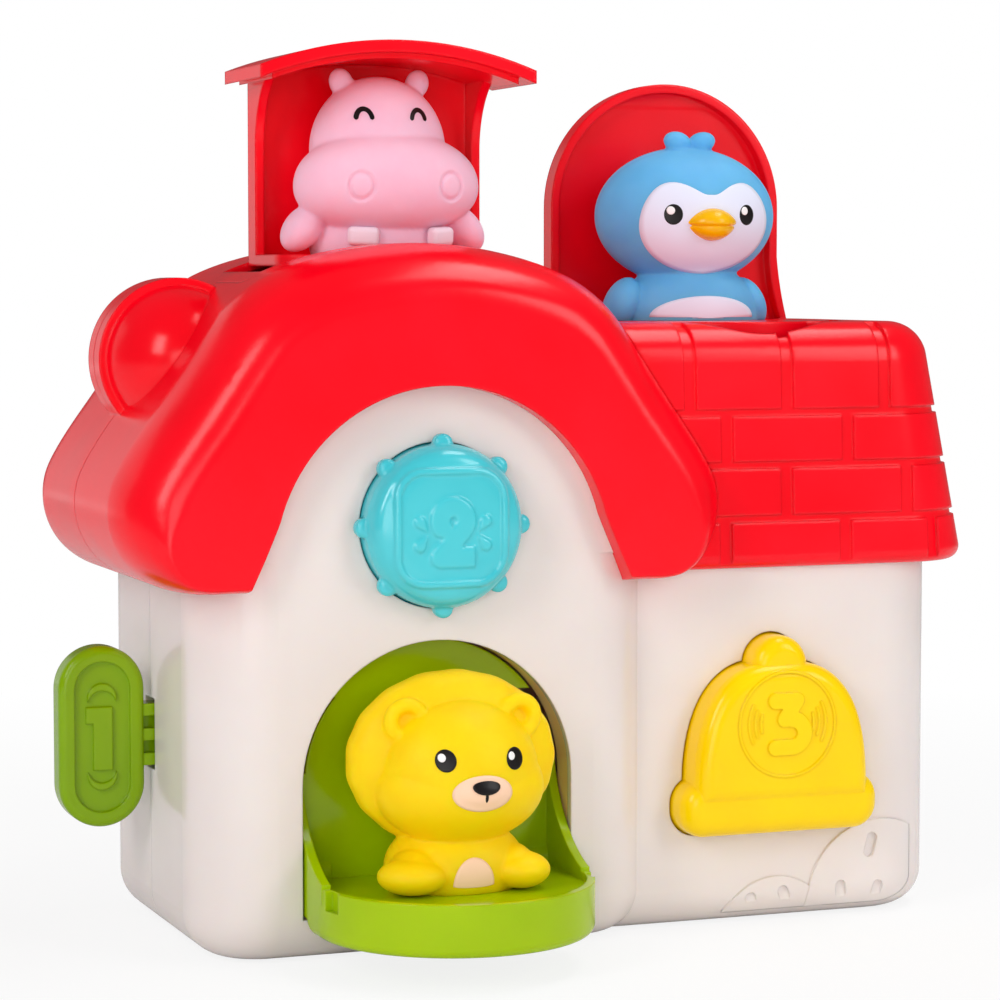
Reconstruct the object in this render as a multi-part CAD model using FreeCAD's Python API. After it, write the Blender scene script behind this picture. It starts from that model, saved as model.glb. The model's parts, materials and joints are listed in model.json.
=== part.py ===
"""Pop-up animal toy: a two-shell house with a puffed roof, a brick-roofed wing, three spring-loaded
animals and three controls.  Millimetres, +X right, +Y back, +Z up, origin at the middle of the base."""
import FreeCAD
import Part
import math
import os

os.makedirs("parts", exist_ok=True)
V = FreeCAD.Vector

# ---- fits -----------------------------------------------------------------------------------------
WALL = 2.5            # moulded wall
RUN = 0.05            # radial running fit of a pin in a turning part
SLIP = 0.5            # clearance round a part that swings or slides through an opening
SEAT = 0.25           # clearance of a hidden sliding part in its guide
PIN_R = 1.5
RELIEF = 0.8          # height of digits and other raised marks
DIGIT_WIDE = 5.0      # stroke width of the digits

# ---- house and wing -------------------------------------------------------------------------------
HOUSE_X = -45.0       # middle of the house
HOUSE_HALF = 63.0
HOUSE_Y = 52.0        # half depth
HOUSE_TOP = 108.0     # side walls, under the roof
HOUSE_CORNER = 20.0
HOUSE_FOOT = 12.0
LEFT = HOUSE_X - HOUSE_HALF
WING_RIGHT = 108.0
WING_Y = 44.0
WING_TOP = 104.0
WING_CORNER = 22.0
WING_FOOT = 10.0
TONGUE_R = 49.0       # arched top of the front wall, behind the roof

# ---- screw bosses on the seam, as (x, z) ----------------------------------------------------------
SHELL_BOSSES = ((LEFT + 13, 20), (LEFT + 10, 96), (7, 20), (7, 92),
                (WING_RIGHT - 11, 20), (WING_RIGHT - 11, 86))
ROOF_BOSSES = ((-118, 118), (8, 118), (-97, 149), (7, 149))
WING_ROOF_BOSSES = ((100, 118),)
BOSS_R = 3.6
SCREW_R = 1.5
HEAD_R = 2.8
HEAD_DEEP = 12.0      # from the seam to the seat of a screw head

# ---- main roof ------------------------------------------------------------------------------------
CROWN_TOP = 184.0
CROWN_R = 105.0
CROWN_ANGLE = 20.4
SHOULDER_R = 40.2
SLOPE_ANGLE = 57.5
LOBE_X = 62.0
LOBE_Z = 116.0
LOBE_R = 21.0
TIP_X = 52.0
ROOF_FACE = 58.0      # front and back faces
ROLL_DEPTH = 24.0
ROLL_INSET = 15.0
ROLL_FOOT = 0.15      # share of the inset left at the lower edge
ARCH_R = 45.6
ARCH_Z = 101.9
EAR_X = -101.0
EAR_Z = 153.5
EAR_R = 21.5
EAR_RIM = 6.0
EAR_DOME = 19.0

# ---- wing roof ------------------------------------------------------------------------------------
BRICK_TOP = 163.0
BRICK_LIP = 97.0
BRICK_X_LOW = 118.0
BRICK_X_HIGH = 105.0
BRICK_Y_LOW = 48.0
BRICK_Y_HIGH = 45.0
BRICK_EDGE = 11.0
JOINT_DEEP = 0.9
JOINT_HIGH = 2.0
JOINT_WIDE = 3.6
COURSE_SHARES = (0.2015, 0.4197, 0.6333)
COURSES = tuple(BRICK_LIP + share * (BRICK_TOP - BRICK_LIP) for share in COURSE_SHARES)
FRONT_JOINTS = ((38.3, 74.0, 101.0), (56.5, 92.8), (39.0, 75.0), (28.4, 57.0, 86.3))
END_JOINTS = ((-18.0, 18.0), (0.0,), (-18.0, 18.0), (0.0,))

# ---- doorway and lion door ------------------------------------------------------------------------
DOOR_R = 36.75
DOOR_Z = 45.2
SILL = 11.5
LION_Y = -39.1        # hinge axis
LION_Z = 21.4
TRAY_UNDER = 8.5
TRAY_FLOOR = 20.0
TRAY_LIP = 22.0
TRAY_ROUND_Y = -63.0
TRAY_R = DOOR_R - SLIP
SPRING_U = 18.0       # recess of the hinge spring, right of the middle
PIN_HALF = DOOR_R + 4.2
LION_X = HOUSE_X
FIGURE_Y = -62.0      # middle of the lion's mane

# ---- hippo lift -----------------------------------------------------------------------------------
LIFT = 53.3
LID_HALF = 38.3
LID_FRONT = -23.0
LID_REAR = 11.0
LID_THICK = 3.2
NICHE_HALF = 32.0
DECK_TOP = 181.0
DECK_UNDER = DECK_TOP - 3.0
CROWN_Z = CROWN_TOP - CROWN_R + LIFT
TAIL_HALF = 12.0
BAR_LOW = 142.0
BAR_HIGH = 150.0
ROD_Y = 17.0
ROD_HALF = 20.0
ROD_R = 2.0
HIPPO_X = HOUSE_X
HIPPO_Y = -4.0

# ---- inner frame and the hippo's catch ------------------------------------------------------------
FRAME_Y = 24.0
FRAME_POSTS = ((-80, 80), (-10, 80), (-80, 128), (-10, 128))
FRAME_X0 = HOUSE_X - 43
FRAME_X1 = HOUSE_X + 43
SHELF_LOW = 87.0
SHELF_HIGH = BAR_HIGH + 0.2
LATCH_Z = 98.0
LATCH_HIGH = 7.0
LATCH_Y = 2.8
LATCH_DEEP = 4.4

# ---- penguin flap ---------------------------------------------------------------------------------
FLAP_X = 52.5
FLAP_R = 35.5
FLAP_Y = 29.0         # hinge axis
FLAP_Z = BRICK_TOP - 3.0
FLAP_TIP = -41.5
FLAP_FLARE = 5.0
FLAP_DEEP = 6.0
DECK_R = FLAP_R - 0.5
DECK_TIP = -36.0
TROUGH_X0 = FLAP_X - FLAP_R - SLIP
TROUGH_X1 = FLAP_X + FLAP_R + FLAP_FLARE + 1.2
TROUGH_BACK = FLAP_Y + math.hypot(3, 3) + 0.3
PENGUIN_X = 50.0
PENGUIN_Y = 6.0

# ---- controls -------------------------------------------------------------------------------------
KNOB_X = HOUSE_X
KNOB_Z = 111.6
KNOB_HOLE = 21.5
KNOB_R = 21.1
KNOB_FACE = -62.0
CUP_FLOOR = -HOUSE_Y + 10.5
HUB_END = CUP_FLOOR - 0.2
SHAFT_R = 4.0
CRANK_ARM = 10.0
BELL_X = 53.0
BELL_FACE = -55.0
BELL_BACK = -41.2
BELL_MID_Z = 54.2
GUIDE_Y = -26.0       # guide of the bell's stem
RISER_Y = -19.5
CRANK_X, CRANK_Y, CRANK_Z = 69.0, 0.0, 91.0       # pivot of the penguin's catch
KEY_X = HOUSE_X - HOUSE_HALF - 14.0
KEY_Z = 54.2
KEY_HALF_X = 11.5
KEY_HALF_Z = 24.0
KEY_THICK = 9.0
KEY_SLOT_Y = 4.5
KEY_RAIL_X = LEFT + 11.0
LEVER_X, LEVER_Y, LEVER_Z = LEFT + 15.0, -20.0, 46.0      # pivot of the lion's catch


def box(x0, x1, y0, y1, z0, z1):
    return Part.makeBox(x1 - x0, y1 - y0, z1 - z0, V(x0, y0, z0))


def rod(axis, start, radius, length):
    return Part.makeCylinder(radius, length, start, axis)


AX, AY, AZ = V(1, 0, 0), V(0, 1, 0), V(0, 0, 1)


def fuse(shapes):
    return shapes[0].multiFuse(shapes[1:]).removeSplitter()


def ellipsoid(centre, rx, ry, rz):
    m = FreeCAD.Matrix()
    m.scale(V(rx, ry, rz))
    m.move(centre)
    return Part.makeSphere(1.0).transformGeometry(m)


def edges_where(shape, test):
    return [e for e in shape.Edges if test(e)]


def at_z(z):
    return lambda e: all(abs(v.Z - z) < 0.01 for v in e.Vertexes)


def along_y(shape, least):
    """Edges that run front to back by more than least."""
    return [e for e in shape.Edges if abs(e.Vertexes[0].Y - e.Vertexes[-1].Y) > least]


def on_face(shape, y):
    return [e for e in shape.Edges if all(abs(v.Y - y) < 0.01 for v in e.Vertexes)]


def upright(x_min):
    def test(e):
        a, b = e.Vertexes[0], e.Vertexes[-1]
        return abs(a.X - b.X) < 0.01 and abs(a.Y - b.Y) < 0.01 and abs(a.Z - b.Z) > 1 and a.X > x_min
    return test


def tub(x0, x1, y, z0, z1, corner, foot, from_x):
    """A box with upright corners rounded to the right of from_x and a rounded lower edge."""
    body = box(x0, x1, -y, y, z0, z1)
    body = body.makeFillet(corner, edges_where(body, upright(from_x)))
    return body.makeFillet(foot, edges_where(body, at_z(z0)))


def emit(name, shape):
    shape.exportStep("parts/%s.step" % name)
    kinds = len(shape.Solids)
    print("%-24s solids %d valid %s volume %.0f" % (name, kinds, shape.isValid(), shape.Volume))


# ---- white body -----------------------------------------------------------------------------------
def body_solid(inset):
    left = HOUSE_X - HOUSE_HALF + inset
    right = HOUSE_X + HOUSE_HALF - inset
    house = tub(left, right, HOUSE_Y - inset, inset, HOUSE_TOP + 40 * bool(inset),
                HOUSE_CORNER - inset, HOUSE_FOOT - inset, left - 1)
    wing = tub(0.0, WING_RIGHT - inset, WING_Y - inset, inset, WING_TOP + 40 * bool(inset),
               WING_CORNER - inset, WING_FOOT - inset, 50.0)
    return house, wing


def arch_face(off):
    """The arched gap in the roof front, in the house's own x and z, grown outward by off."""
    r = ARCH_R + off
    side = math.radians(15.0)
    px, pz = r * math.cos(side), ARCH_Z + r * math.sin(side)
    tip, foot = TIP_X + off, LOBE_Z - LOBE_R
    def at(u, z):
        return V(HOUSE_X + u, 0, z)
    edges = [
        Part.Arc(at(-tip, foot + 1), at(-48.2 - off, 104), at(-px, pz)).toShape(),
        Part.Arc(at(-px, pz), at(0, ARCH_Z + r), at(px, pz)).toShape(),
        Part.Arc(at(px, pz), at(48.2 + off, 104), at(tip, foot + 1)).toShape(),
        Part.makeLine(at(tip, foot + 1), at(tip + 4, foot - 10)),
        Part.makeLine(at(tip + 4, foot - 10), at(-tip - 4, foot - 10)),
        Part.makeLine(at(-tip - 4, foot - 10), at(-tip, foot + 1)),
    ]
    return Part.Face(Part.Wire(edges))


def arch_prism(off, y0, y1):
    face = arch_face(off)
    face.translate(V(0, y0, 0))
    return face.extrude(V(0, y1 - y0, 0))


# ---- main roof ------------------------------------------------------------------------------------
def roof_outline():
    """Half outline as (u, z, normal u, normal z, share of the front roll), foot of the lobe to crown."""
    pts = [(TIP_X + 5, LOBE_Z - LOBE_R, 0.0, -1.0, ROLL_FOOT)]
    first, last = -90.0, 90.0 - SLOPE_ANGLE
    for i in range(9):
        f = i / 8.0
        a = math.radians(first + (last - first) * f)
        share = ROLL_FOOT + (1 - ROLL_FOOT) * (0.5 - 0.5 * math.cos(math.pi * min(1.0, f * 1.15)))
        pts.append((LOBE_X + LOBE_R * math.cos(a), LOBE_Z + LOBE_R * math.sin(a),
                    math.cos(a), math.sin(a), share))
    ca, sa = math.cos(math.radians(CROWN_ANGLE)), math.sin(math.radians(CROWN_ANGLE))
    crown_z = CROWN_TOP - CROWN_R
    sx = (CROWN_R - SHOULDER_R) * sa
    sz = crown_z + (CROWN_R - SHOULDER_R) * ca
    lo = math.radians(90 - SLOPE_ANGLE)
    end = (sx + SHOULDER_R * math.cos(lo), sz + SHOULDER_R * math.sin(lo))
    last_p = pts[-1]
    pts.append(((last_p[0] + end[0]) / 2, (last_p[1] + end[1]) / 2, math.cos(lo), math.sin(lo), 1.0))
    for i in range(5):
        a = math.radians(90 - SLOPE_ANGLE + (SLOPE_ANGLE - CROWN_ANGLE) * i / 4.0)
        pts.append((sx + SHOULDER_R * math.cos(a), sz + SHOULDER_R * math.sin(a),
                    math.cos(a), math.sin(a), 1.0))
    for i in (1, 2, 3):
        a = math.radians(90 - CROWN_ANGLE * (1 - i / 3.0))
        pts.append((CROWN_R * math.cos(a), crown_z + CROWN_R * math.sin(a),
                    math.cos(a), math.sin(a), 1.0))
    return pts


def roof_section(y, wall, roll):
    half = roof_outline()
    right = [V(HOUSE_X + u - nu * (wall + s * roll), y, z - nz * (wall + s * roll))
             for u, z, nu, nz, s in half]
    left = [V(2 * HOUSE_X - p.x, y, p.z) for p in reversed(right[:-1])]
    curve = Part.BSplineCurve()
    curve.interpolate(right + left)
    return Part.Wire([curve.toShape(), Part.makeLine(left[-1], right[0])])


def roof_solid(wall):
    flat = ROOF_FACE - ROLL_DEPTH
    middle = Part.Face(roof_section(-flat, wall, 0.0)).extrude(V(0, 2 * flat, 0))
    ends = []
    for side in (-1, 1):
        wires = []
        for t in (0, 18, 36, 54, 72, 90):
            a = math.radians(t)
            roll = (ROLL_INSET - wall) * (1 - math.cos(a))
            y = side * (flat + (ROLL_DEPTH - wall) * math.sin(a))
            wires.append(roof_section(y, wall, roll))
        ends.append(Part.makeLoft(wires, True, False))
    return middle.multiFuse(ends)


house_out, wing_out = body_solid(0.0)
house_in, wing_in = body_solid(WALL)
column = house_out.fuse(wing_out)
tongue = rod(AY, V(HOUSE_X, -HOUSE_Y, ARCH_Z), TONGUE_R, WALL)
tongue = tongue.common(box(-200, 200, -60, 60, 103, 200))
tongue_back = tongue.copy()
tongue_back.translate(V(0, 2 * HOUSE_Y - WALL, 0))

roof_out = roof_solid(0.0)
roof_in = roof_solid(WALL)
low = box(-200, 200, -80, 80, 60, HOUSE_TOP)
room = roof_in
holes = []
for s in (-1, 1):
    face, inner = s * 70.0, s * (HOUSE_Y - 8)
    plane = s * HOUSE_Y
    span = sorted((face, plane))
    deep = sorted((face, inner))
    room = room.cut(arch_prism(WALL, span[0], span[1]))
    room = room.cut(arch_prism(WALL, deep[0], deep[1]).common(low))
    holes.append(arch_prism(0.0, span[0], span[1]))
    holes.append(arch_prism(0.0, deep[0], deep[1]).common(low))
roof = roof_out.cut(room)
for h in holes:
    roof = roof.cut(h)
roof = roof.cut(column.fuse(tongue).fuse(tongue_back))

# the left ear: a rimmed disc with a domed face each way, standing on the roof slope
ear = rod(AY, V(EAR_X, -EAR_RIM, EAR_Z), EAR_R, 2 * EAR_RIM)
dome = ellipsoid(V(EAR_X, 0, EAR_Z), EAR_R - 1.5, EAR_RIM + EAR_DOME, EAR_R - 1.5)
roof = roof.fuse(ear.fuse(dome).cut(roof_in))

# room for the penguin's flap to swing down beside the house
roof = roof.cut(box(TROUGH_X0, TROUGH_X1, FLAP_TIP - SLIP, TROUGH_BACK, 0, BRICK_TOP))

# opening over the hippo lift, and the split line that runs round its front
lift_hole = box(HOUSE_X - LID_HALF - SLIP, HOUSE_X + LID_HALF + SLIP, LID_FRONT - SLIP,
                LID_REAR + SLIP, 130, 200)
roof = roof.cut(lift_hole)
collar = box(HOUSE_X - 44, HOUSE_X + 44, -31, 0, 140, 200)
collar = collar.makeFillet(10, edges_where(collar, lambda e: upright(-200)(e) and e.Vertexes[0].Y < -30))
rear_zone = box(-200, 200, 0, 80, 0, 250).fuse(collar)

# screw bosses on the seam, used by the shells and by the roof halves


def boss_pair(shell, outer, places, y_out):
    for x, z in places:
        post = rod(AY, V(x, -y_out, z), BOSS_R, 2 * y_out).common(outer)
        shell = shell.fuse(post)
        shell = shell.cut(rod(AY, V(x, -18, z), SCREW_R, 80))
        shell = shell.cut(rod(AY, V(x, HEAD_DEEP, z), HEAD_R + 0.2, 80))
    return shell


def screws(places, z_shift=0.0):
    found = []
    for x, z in places:
        shank = rod(AY, V(x, -16, z), SCREW_R - 0.1, HEAD_DEEP + 16)
        head = rod(AY, V(x, HEAD_DEEP, z), HEAD_R, 2.2)
        slot = box(x - HEAD_R, x + HEAD_R, HEAD_DEEP + 1.3, HEAD_DEEP + 3, z - 0.4, z + 0.4)
        slot = slot.fuse(box(x - 0.4, x + 0.4, HEAD_DEEP + 1.3, HEAD_DEEP + 3, z - HEAD_R, z + HEAD_R))
        found.append(shank.fuse(head).cut(slot))
    return Part.makeCompound(found)


roof = boss_pair(roof, roof_out.cut(column).cut(lift_hole), ROOF_BOSSES, ROOF_FACE - 1)
roof_rear = roof.common(rear_zone)
roof_front = roof.cut(rear_zone)
emit("roof_front", roof_front)
emit("roof_rear", roof_rear)
emit("roof_screws", screws(ROOF_BOSSES))


# ---- wing roof ------------------------------------------------------------------------------------
def brick_solid(inset, foot):
    def ring(z, x1, y, r):
        x0 = 0.0
        mid = math.sqrt(0.5) * r
        pts = [V(x0, -y, z), V(x1 - r, -y, z), V(x1, -y + r, z),
               V(x1, y - r, z), V(x1 - r, y, z), V(x0, y, z)]
        knee = V(x1 - r + mid, -y + r - mid, z)
        heel = V(x1 - r + mid, y - r + mid, z)
        return Part.Wire([Part.makeLine(pts[0], pts[1]), Part.Arc(pts[1], knee, pts[2]).toShape(),
                          Part.makeLine(pts[2], pts[3]), Part.Arc(pts[3], heel, pts[4]).toShape(),
                          Part.makeLine(pts[4], pts[5]), Part.makeLine(pts[5], pts[0])])
    top = BRICK_TOP - inset
    solid = Part.makeLoft([ring(BRICK_LIP, BRICK_X_LOW - inset, BRICK_Y_LOW - inset, 22 - inset),
                           ring(top, BRICK_X_HIGH - inset, BRICK_Y_HIGH - inset, 19 - inset)], True, True)
    solid = solid.makeFillet(BRICK_EDGE - inset, [e for e in edges_where(solid, at_z(top))
                                                  if not all(abs(v.X) < 0.01 for v in e.Vertexes)])
    if foot:
        solid = solid.makeFillet(foot, [e for e in edges_where(solid, at_z(BRICK_LIP))
                                        if not all(abs(v.X) < 0.01 for v in e.Vertexes)])
    return solid


brick_out = brick_solid(0.0, 3.5)
brick_in = brick_solid(WALL, 0.0)
groove_zone = brick_out.cut(brick_solid(JOINT_DEEP, 0.0))
bars = [box(-20, 130, -60, 60, z - JOINT_HIGH / 2, z + JOINT_HIGH / 2) for z in COURSES]
levels = (BRICK_LIP - 1,) + COURSES + (BRICK_TOP + 1,)
for row in range(4):
    z0, z1 = levels[row], levels[row + 1]
    for x in FRONT_JOINTS[row]:
        for s in (-1, 1):
            y0, y1 = sorted((s * 36.0, s * 60.0))
            bars.append(box(x - JOINT_WIDE / 2, x + JOINT_WIDE / 2, y0, y1, z0, z1))
    for y in END_JOINTS[row]:
        bars.append(box(97, 130, y - JOINT_WIDE / 2, y + JOINT_WIDE / 2, z0, z1))
bricks = brick_out.cut(groove_zone.common(Part.makeCompound(bars[:1]).multiFuse(bars[1:])))
void = brick_in.common(box(-10, 130, -60, 60, BRICK_LIP + 3.5, BRICK_TOP + 7))
wing_roof = bricks.cut(void).cut(column)


def flap_outline(grow, tip):
    """Plan of the penguin flap when shut: round front end, straight sides, a flare at the back right."""
    r = FLAP_R + grow
    cy = tip - grow + r
    back = FLAP_Y + 3.0 + grow
    flare = FLAP_FLARE
    pts = [V(FLAP_X - r, back, 0), V(FLAP_X - r, cy, 0), V(FLAP_X, cy - r, 0), V(FLAP_X + r, cy, 0)]
    right = [V(FLAP_X + r, 8, 0), V(FLAP_X + r + 0.28 * flare, 18, 0), V(FLAP_X + r + flare, back, 0)]
    return Part.Face(Part.Wire([
        Part.makeLine(pts[0], pts[1]), Part.Arc(pts[1], pts[2], pts[3]).toShape(),
        Part.makeLine(pts[3], right[0]), Part.Arc(right[0], right[1], right[2]).toShape(),
        Part.makeLine(right[2], pts[0])]))


def flap_prism(grow, tip, z0, z1):
    face = flap_outline(grow, tip)
    face.translate(V(0, 0, z0))
    return face.extrude(V(0, 0, z1 - z0))


wing_roof = wing_roof.cut(flap_prism(SLIP, FLAP_TIP, BRICK_TOP - 13, BRICK_TOP + 7)).cut(roof_out)
pin_zone = box(HOUSE_X, FLAP_X, FLAP_Y - PIN_R, FLAP_Y + PIN_R, FLAP_Z - PIN_R, FLAP_Z + PIN_R)
beside_pin = roof_out.common(pin_zone)
HINGE_X0 = beside_pin.BoundBox.XMax + SLIP
HINGE_X1 = TROUGH_X1 + 2.8
wing_roof = wing_roof.cut(box(TROUGH_X0, TROUGH_X1, FLAP_Y - 5, TROUGH_BACK, BRICK_TOP - 13, BRICK_TOP + 7))
for x0, x1 in ((HINGE_X0 - 1.5, TROUGH_X0), (TROUGH_X1, HINGE_X1 + 1.5)):
    lug = box(x0, x1, FLAP_Y - 4, FLAP_Y + 4, FLAP_Z - 5, BRICK_TOP - 1).common(brick_out).cut(roof_out)
    wing_roof = wing_roof.fuse(lug)
wing_roof = wing_roof.cut(rod(AX, V(HINGE_X0, FLAP_Y, FLAP_Z), PIN_R, HINGE_X1 - HINGE_X0))
wing_roof = boss_pair(wing_roof, brick_out.cut(column).cut(roof_out), WING_ROOF_BOSSES, 44.0)
wing_front = wing_roof.common(box(-50, 200, -80, 0, 0, 250))
wing_rear = wing_roof.common(box(-50, 200, 0, 80, 0, 250))
emit("wing_roof_front", wing_front)
emit("wing_roof_rear", wing_rear)
emit("wing_roof_screw", screws(WING_ROOF_BOSSES))


# ---- body shells ----------------------------------------------------------------------------------
def arch_door(radius, sill, y0, y1):
    low_part = box(HOUSE_X - radius, HOUSE_X + radius, y0, y1, sill, DOOR_Z)
    return low_part.fuse(rod(AY, V(HOUSE_X, y0, DOOR_Z), radius, y1 - y0))


def bell_outline(grow):
    """Bell in front view: brim, dome and crown knob, grown outward by grow."""
    brim = box(-29 - grow, 29 + grow, 0, 1, 25.5 - grow, 41 + grow)
    brim = brim.makeFillet(6.9 + grow, along_y(brim, 0.5))
    dome_pts = [V(25.5 + grow, 0, 40), V(25.2 + grow, 0, 46), V(23.2 + grow, 0, 56), V(19 + grow, 0, 64.5),
                V(12 + grow * 0.6, 0, 70.2 + grow * 0.8), V(0, 0, 72.0 + grow)]
    mirror = [V(-p.x, 0, p.z) for p in reversed(dome_pts[:-1])]
    curve = Part.BSplineCurve()
    curve.interpolate(dome_pts + mirror)
    wire = Part.Wire([curve.toShape(), Part.makeLine(mirror[-1], dome_pts[0])])
    dome_part = Part.Face(wire).extrude(AY)
    knob_part = rod(AY, V(0, 0, 71), 8.0 + grow, 1)
    bell = brim.fuse(dome_part).fuse(knob_part).removeSplitter()
    bell.translate(V(BELL_X, 0, 0))
    return bell


def bell_prism(grow, y0, y1):
    shape = bell_outline(grow)
    m = FreeCAD.Matrix()
    m.scale(V(1, y1 - y0, 1))
    m.move(V(0, y0, 0))
    return shape.transformGeometry(m)


column_in = house_in.fuse(wing_in)
body = column.cut(column_in).fuse(tongue).fuse(tongue_back)
body = boss_pair(body, column, SHELL_BOSSES, 50.0)
body = body.cut(arch_door(DOOR_R, SILL, -60, -48))
body = body.cut(rod(AY, V(HOUSE_X, -60, KNOB_Z), KNOB_HOLE, 12))
body = body.cut(bell_prism(SLIP, -50, -40))
body = body.cut(box(LEFT - 7, LEFT + 8, -KEY_SLOT_Y, KEY_SLOT_Y, KEY_Z - 9.5, KEY_Z + 9.5))

# stones raised beside the wing's foot, with small sunk marks
stones = [rod(AY, V(86.5, -WING_Y - 0.9, 4.5), 22.0, 3.0), rod(AY, V(55, -WING_Y - 0.7, -4.5), 17.0, 3.0)]
marks = ((83.5, 19.4, 3.4, 14), (94.3, 15.6, 2.4, 10), (74.7, 7.5, 2.6, -8), (85.8, 7.0, 2.4, 12),
         (57.5, 7.4, 2.4, -25), (47.8, 6.2, 2.2, -20))


def clip_to_wing(shape, proud):
    """Keep a relief inside a copy of the wing block that stands a little proud."""
    m = FreeCAD.Matrix()
    m.move(V(0, -proud, 0))
    return shape.common(wing_out.transformGeometry(m)).cut(box(-200, 200, -WING_Y + 14, 60, -20, 60))


body = body.multiFuse([clip_to_wing(stones[0], 0.9), clip_to_wing(stones[1], 0.7)])
for x, z, half, lean in marks:
    slot = box(x - 1.5, x + 1.5, -WING_Y - 3, -WING_Y + 0.2, z - half, z + half)
    slot = slot.makeFillet(1.45, along_y(slot, 1))
    slot.rotate(V(x, 0, z), AY, lean)
    body = body.cut(slot)

front = body.common(box(-200, 200, -80, 0, -5, 250))
rear = body.common(box(-200, 200, 0, 80, -5, 250))

# front shell: lion hinge lugs, knob cup, bell guide
for s in (-1, 1):
    x0, x1 = sorted((HOUSE_X + s * (DOOR_R + 0.2), HOUSE_X + s * (DOOR_R + 4.2)))
    lug = box(x0, x1, -HOUSE_Y + 1, LION_Y + 5, LION_Z - 8, LION_Z + 6)
    front = front.fuse(lug)
    front = front.cut(rod(AX, V(x0 - 1, LION_Y, LION_Z), PIN_R, 6))
cup = rod(AY, V(HOUSE_X, -HOUSE_Y + 1, KNOB_Z), 27.0, 12.0)
cup = cup.cut(rod(AY, V(HOUSE_X, -HOUSE_Y, KNOB_Z), 24.5, CUP_FLOOR + HOUSE_Y))
cup = cup.cut(rod(AY, V(HOUSE_X, -60, KNOB_Z), KNOB_HOLE, 12))
cup = cup.cut(rod(AY, V(HOUSE_X, -60, KNOB_Z), SHAFT_R + RUN, 60))
front = front.fuse(cup)
guide = box(BELL_X - 31, BELL_X + 31, GUIDE_Y, GUIDE_Y + 2.5, 49.5, 58.5)
for s in (-1, 1):
    leg_x = BELL_X + s * 29.5
    guide = guide.fuse(box(leg_x - 1.5, leg_x + 1.5, -WING_Y + 1, GUIDE_Y + 1, 49.5, 58.5))
guide = guide.cut(rod(AY, V(BELL_X, GUIDE_Y - 1, KEY_Z), 3.0 + RUN, 6))
front = front.fuse(guide)
perch = box(LEFT + 1, LEVER_X + 4, LEVER_Y - 5, LEVER_Y + 5, LEVER_Z - 3, LEVER_Z)
front = front.fuse(perch).cut(rod(AZ, V(LEVER_X, LEVER_Y, LEVER_Z - 4), PIN_R, 8))
# rear shell: shelf for the penguin latch and posts for the inner frame
shelf = box(CRANK_X - 5, CRANK_X + 5, CRANK_Y - 5, WING_Y - 1, CRANK_Z - 3, CRANK_Z)
shelf = shelf.fuse(box(CRANK_X - 1.2, CRANK_X + 1.2, 6, WING_Y - 1, CRANK_Z - 22, CRANK_Z - 3))
posts = [rod(AY, V(x, FRAME_Y + 2.5, z), 4.0, HOUSE_Y - 1 - FRAME_Y - 2.5) for x, z in FRAME_POSTS]
rail = box(KEY_RAIL_X, KEY_RAIL_X + 2.5, -6, HOUSE_Y - 1, KEY_Z - 4.2, KEY_Z + 4.2)
rail = rail.cut(rod(AX, V(KEY_RAIL_X - 1, 0, KEY_Z), 3.0 + RUN, 5))
rear = rear.fuse(shelf).fuse(rail)
for post in posts:
    rear = rear.fuse(post)
for x, z in FRAME_POSTS:
    rear = rear.cut(rod(AY, V(x, FRAME_Y, z), SCREW_R, 14))
rear = rear.cut(rod(AZ, V(CRANK_X, CRANK_Y, CRANK_Z - 5), PIN_R, 10))
emit("front_shell", front)
emit("rear_shell", rear)
emit("shell_screws", screws(SHELL_BOSSES))


# ---- springs and digits ---------------------------------------------------------------------------
def coil(start, axis, radius, wire, turns, length):
    """A round-wire coil standing on start along axis."""
    steps = 8 * turns
    path = Part.BSplineCurve()
    turn = math.pi / 4
    path.interpolate([V(radius * math.cos(turn * i), radius * math.sin(turn * i), length * i / steps)
                      for i in range(steps + 1)])
    ring = Part.Wire([Part.makeCircle(wire, V(radius, 0, 0), path.tangent(path.FirstParameter)[0])])
    spring = Part.Wire(path.toShape()).makePipeShell([ring], True, True)
    spring.Placement = FreeCAD.Placement(start, FreeCAD.Rotation(AZ, axis))
    return spring


def stroke(edges, wide, y0, y1):
    """A line drawn in the x-z plane made into a raised bar of the given width."""
    outline = Part.Wire(edges).makeOffset2D(wide / 2, 0, True, False)
    outline.translate(V(0, y0, 0))
    return outline.extrude(V(0, y1 - y0, 0))


def line(x0, z0, x1, z1):
    return Part.makeLine(V(x0, 0, z0), V(x1, 0, z1))


def arc_about(x, z, radius, first, last):
    """An arc in the x-z plane about (x, z), from first to last in degrees."""
    def at(angle):
        return V(x + radius * math.cos(math.radians(angle)), 0, z + radius * math.sin(math.radians(angle)))
    return Part.Arc(at(first), at((first + last) / 2), at(last)).toShape()


def drop(x, z, radius, tip_x, tip_z, y0, y1):
    """A teardrop relief: round end at (x, z), point at the tip."""
    reach = math.hypot(tip_x - x, tip_z - z)
    turn = math.atan2(tip_z - z, tip_x - x)
    spread = math.acos(radius / reach)
    sides = [V(x + radius * math.cos(turn + s * spread), y0, z + radius * math.sin(turn + s * spread))
             for s in (-1, 1)]
    wedge = Part.Face(Part.makePolygon([V(x, y0, z), sides[0], V(tip_x, y0, tip_z), sides[1], V(x, y0, z)]))
    return rod(AY, V(x, y0, z), radius, y1 - y0).fuse(wedge.extrude(V(0, y1 - y0, 0)))


# ---- lion door ------------------------------------------------------------------------------------
def tray_plan(r, z0, z1):
    block = box(HOUSE_X - r, HOUSE_X + r, TRAY_ROUND_Y, LION_Y - 2.9, z0, z1)
    return block.fuse(rod(AZ, V(HOUSE_X, TRAY_ROUND_Y, z0), r, z1 - z0)).removeSplitter()


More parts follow.
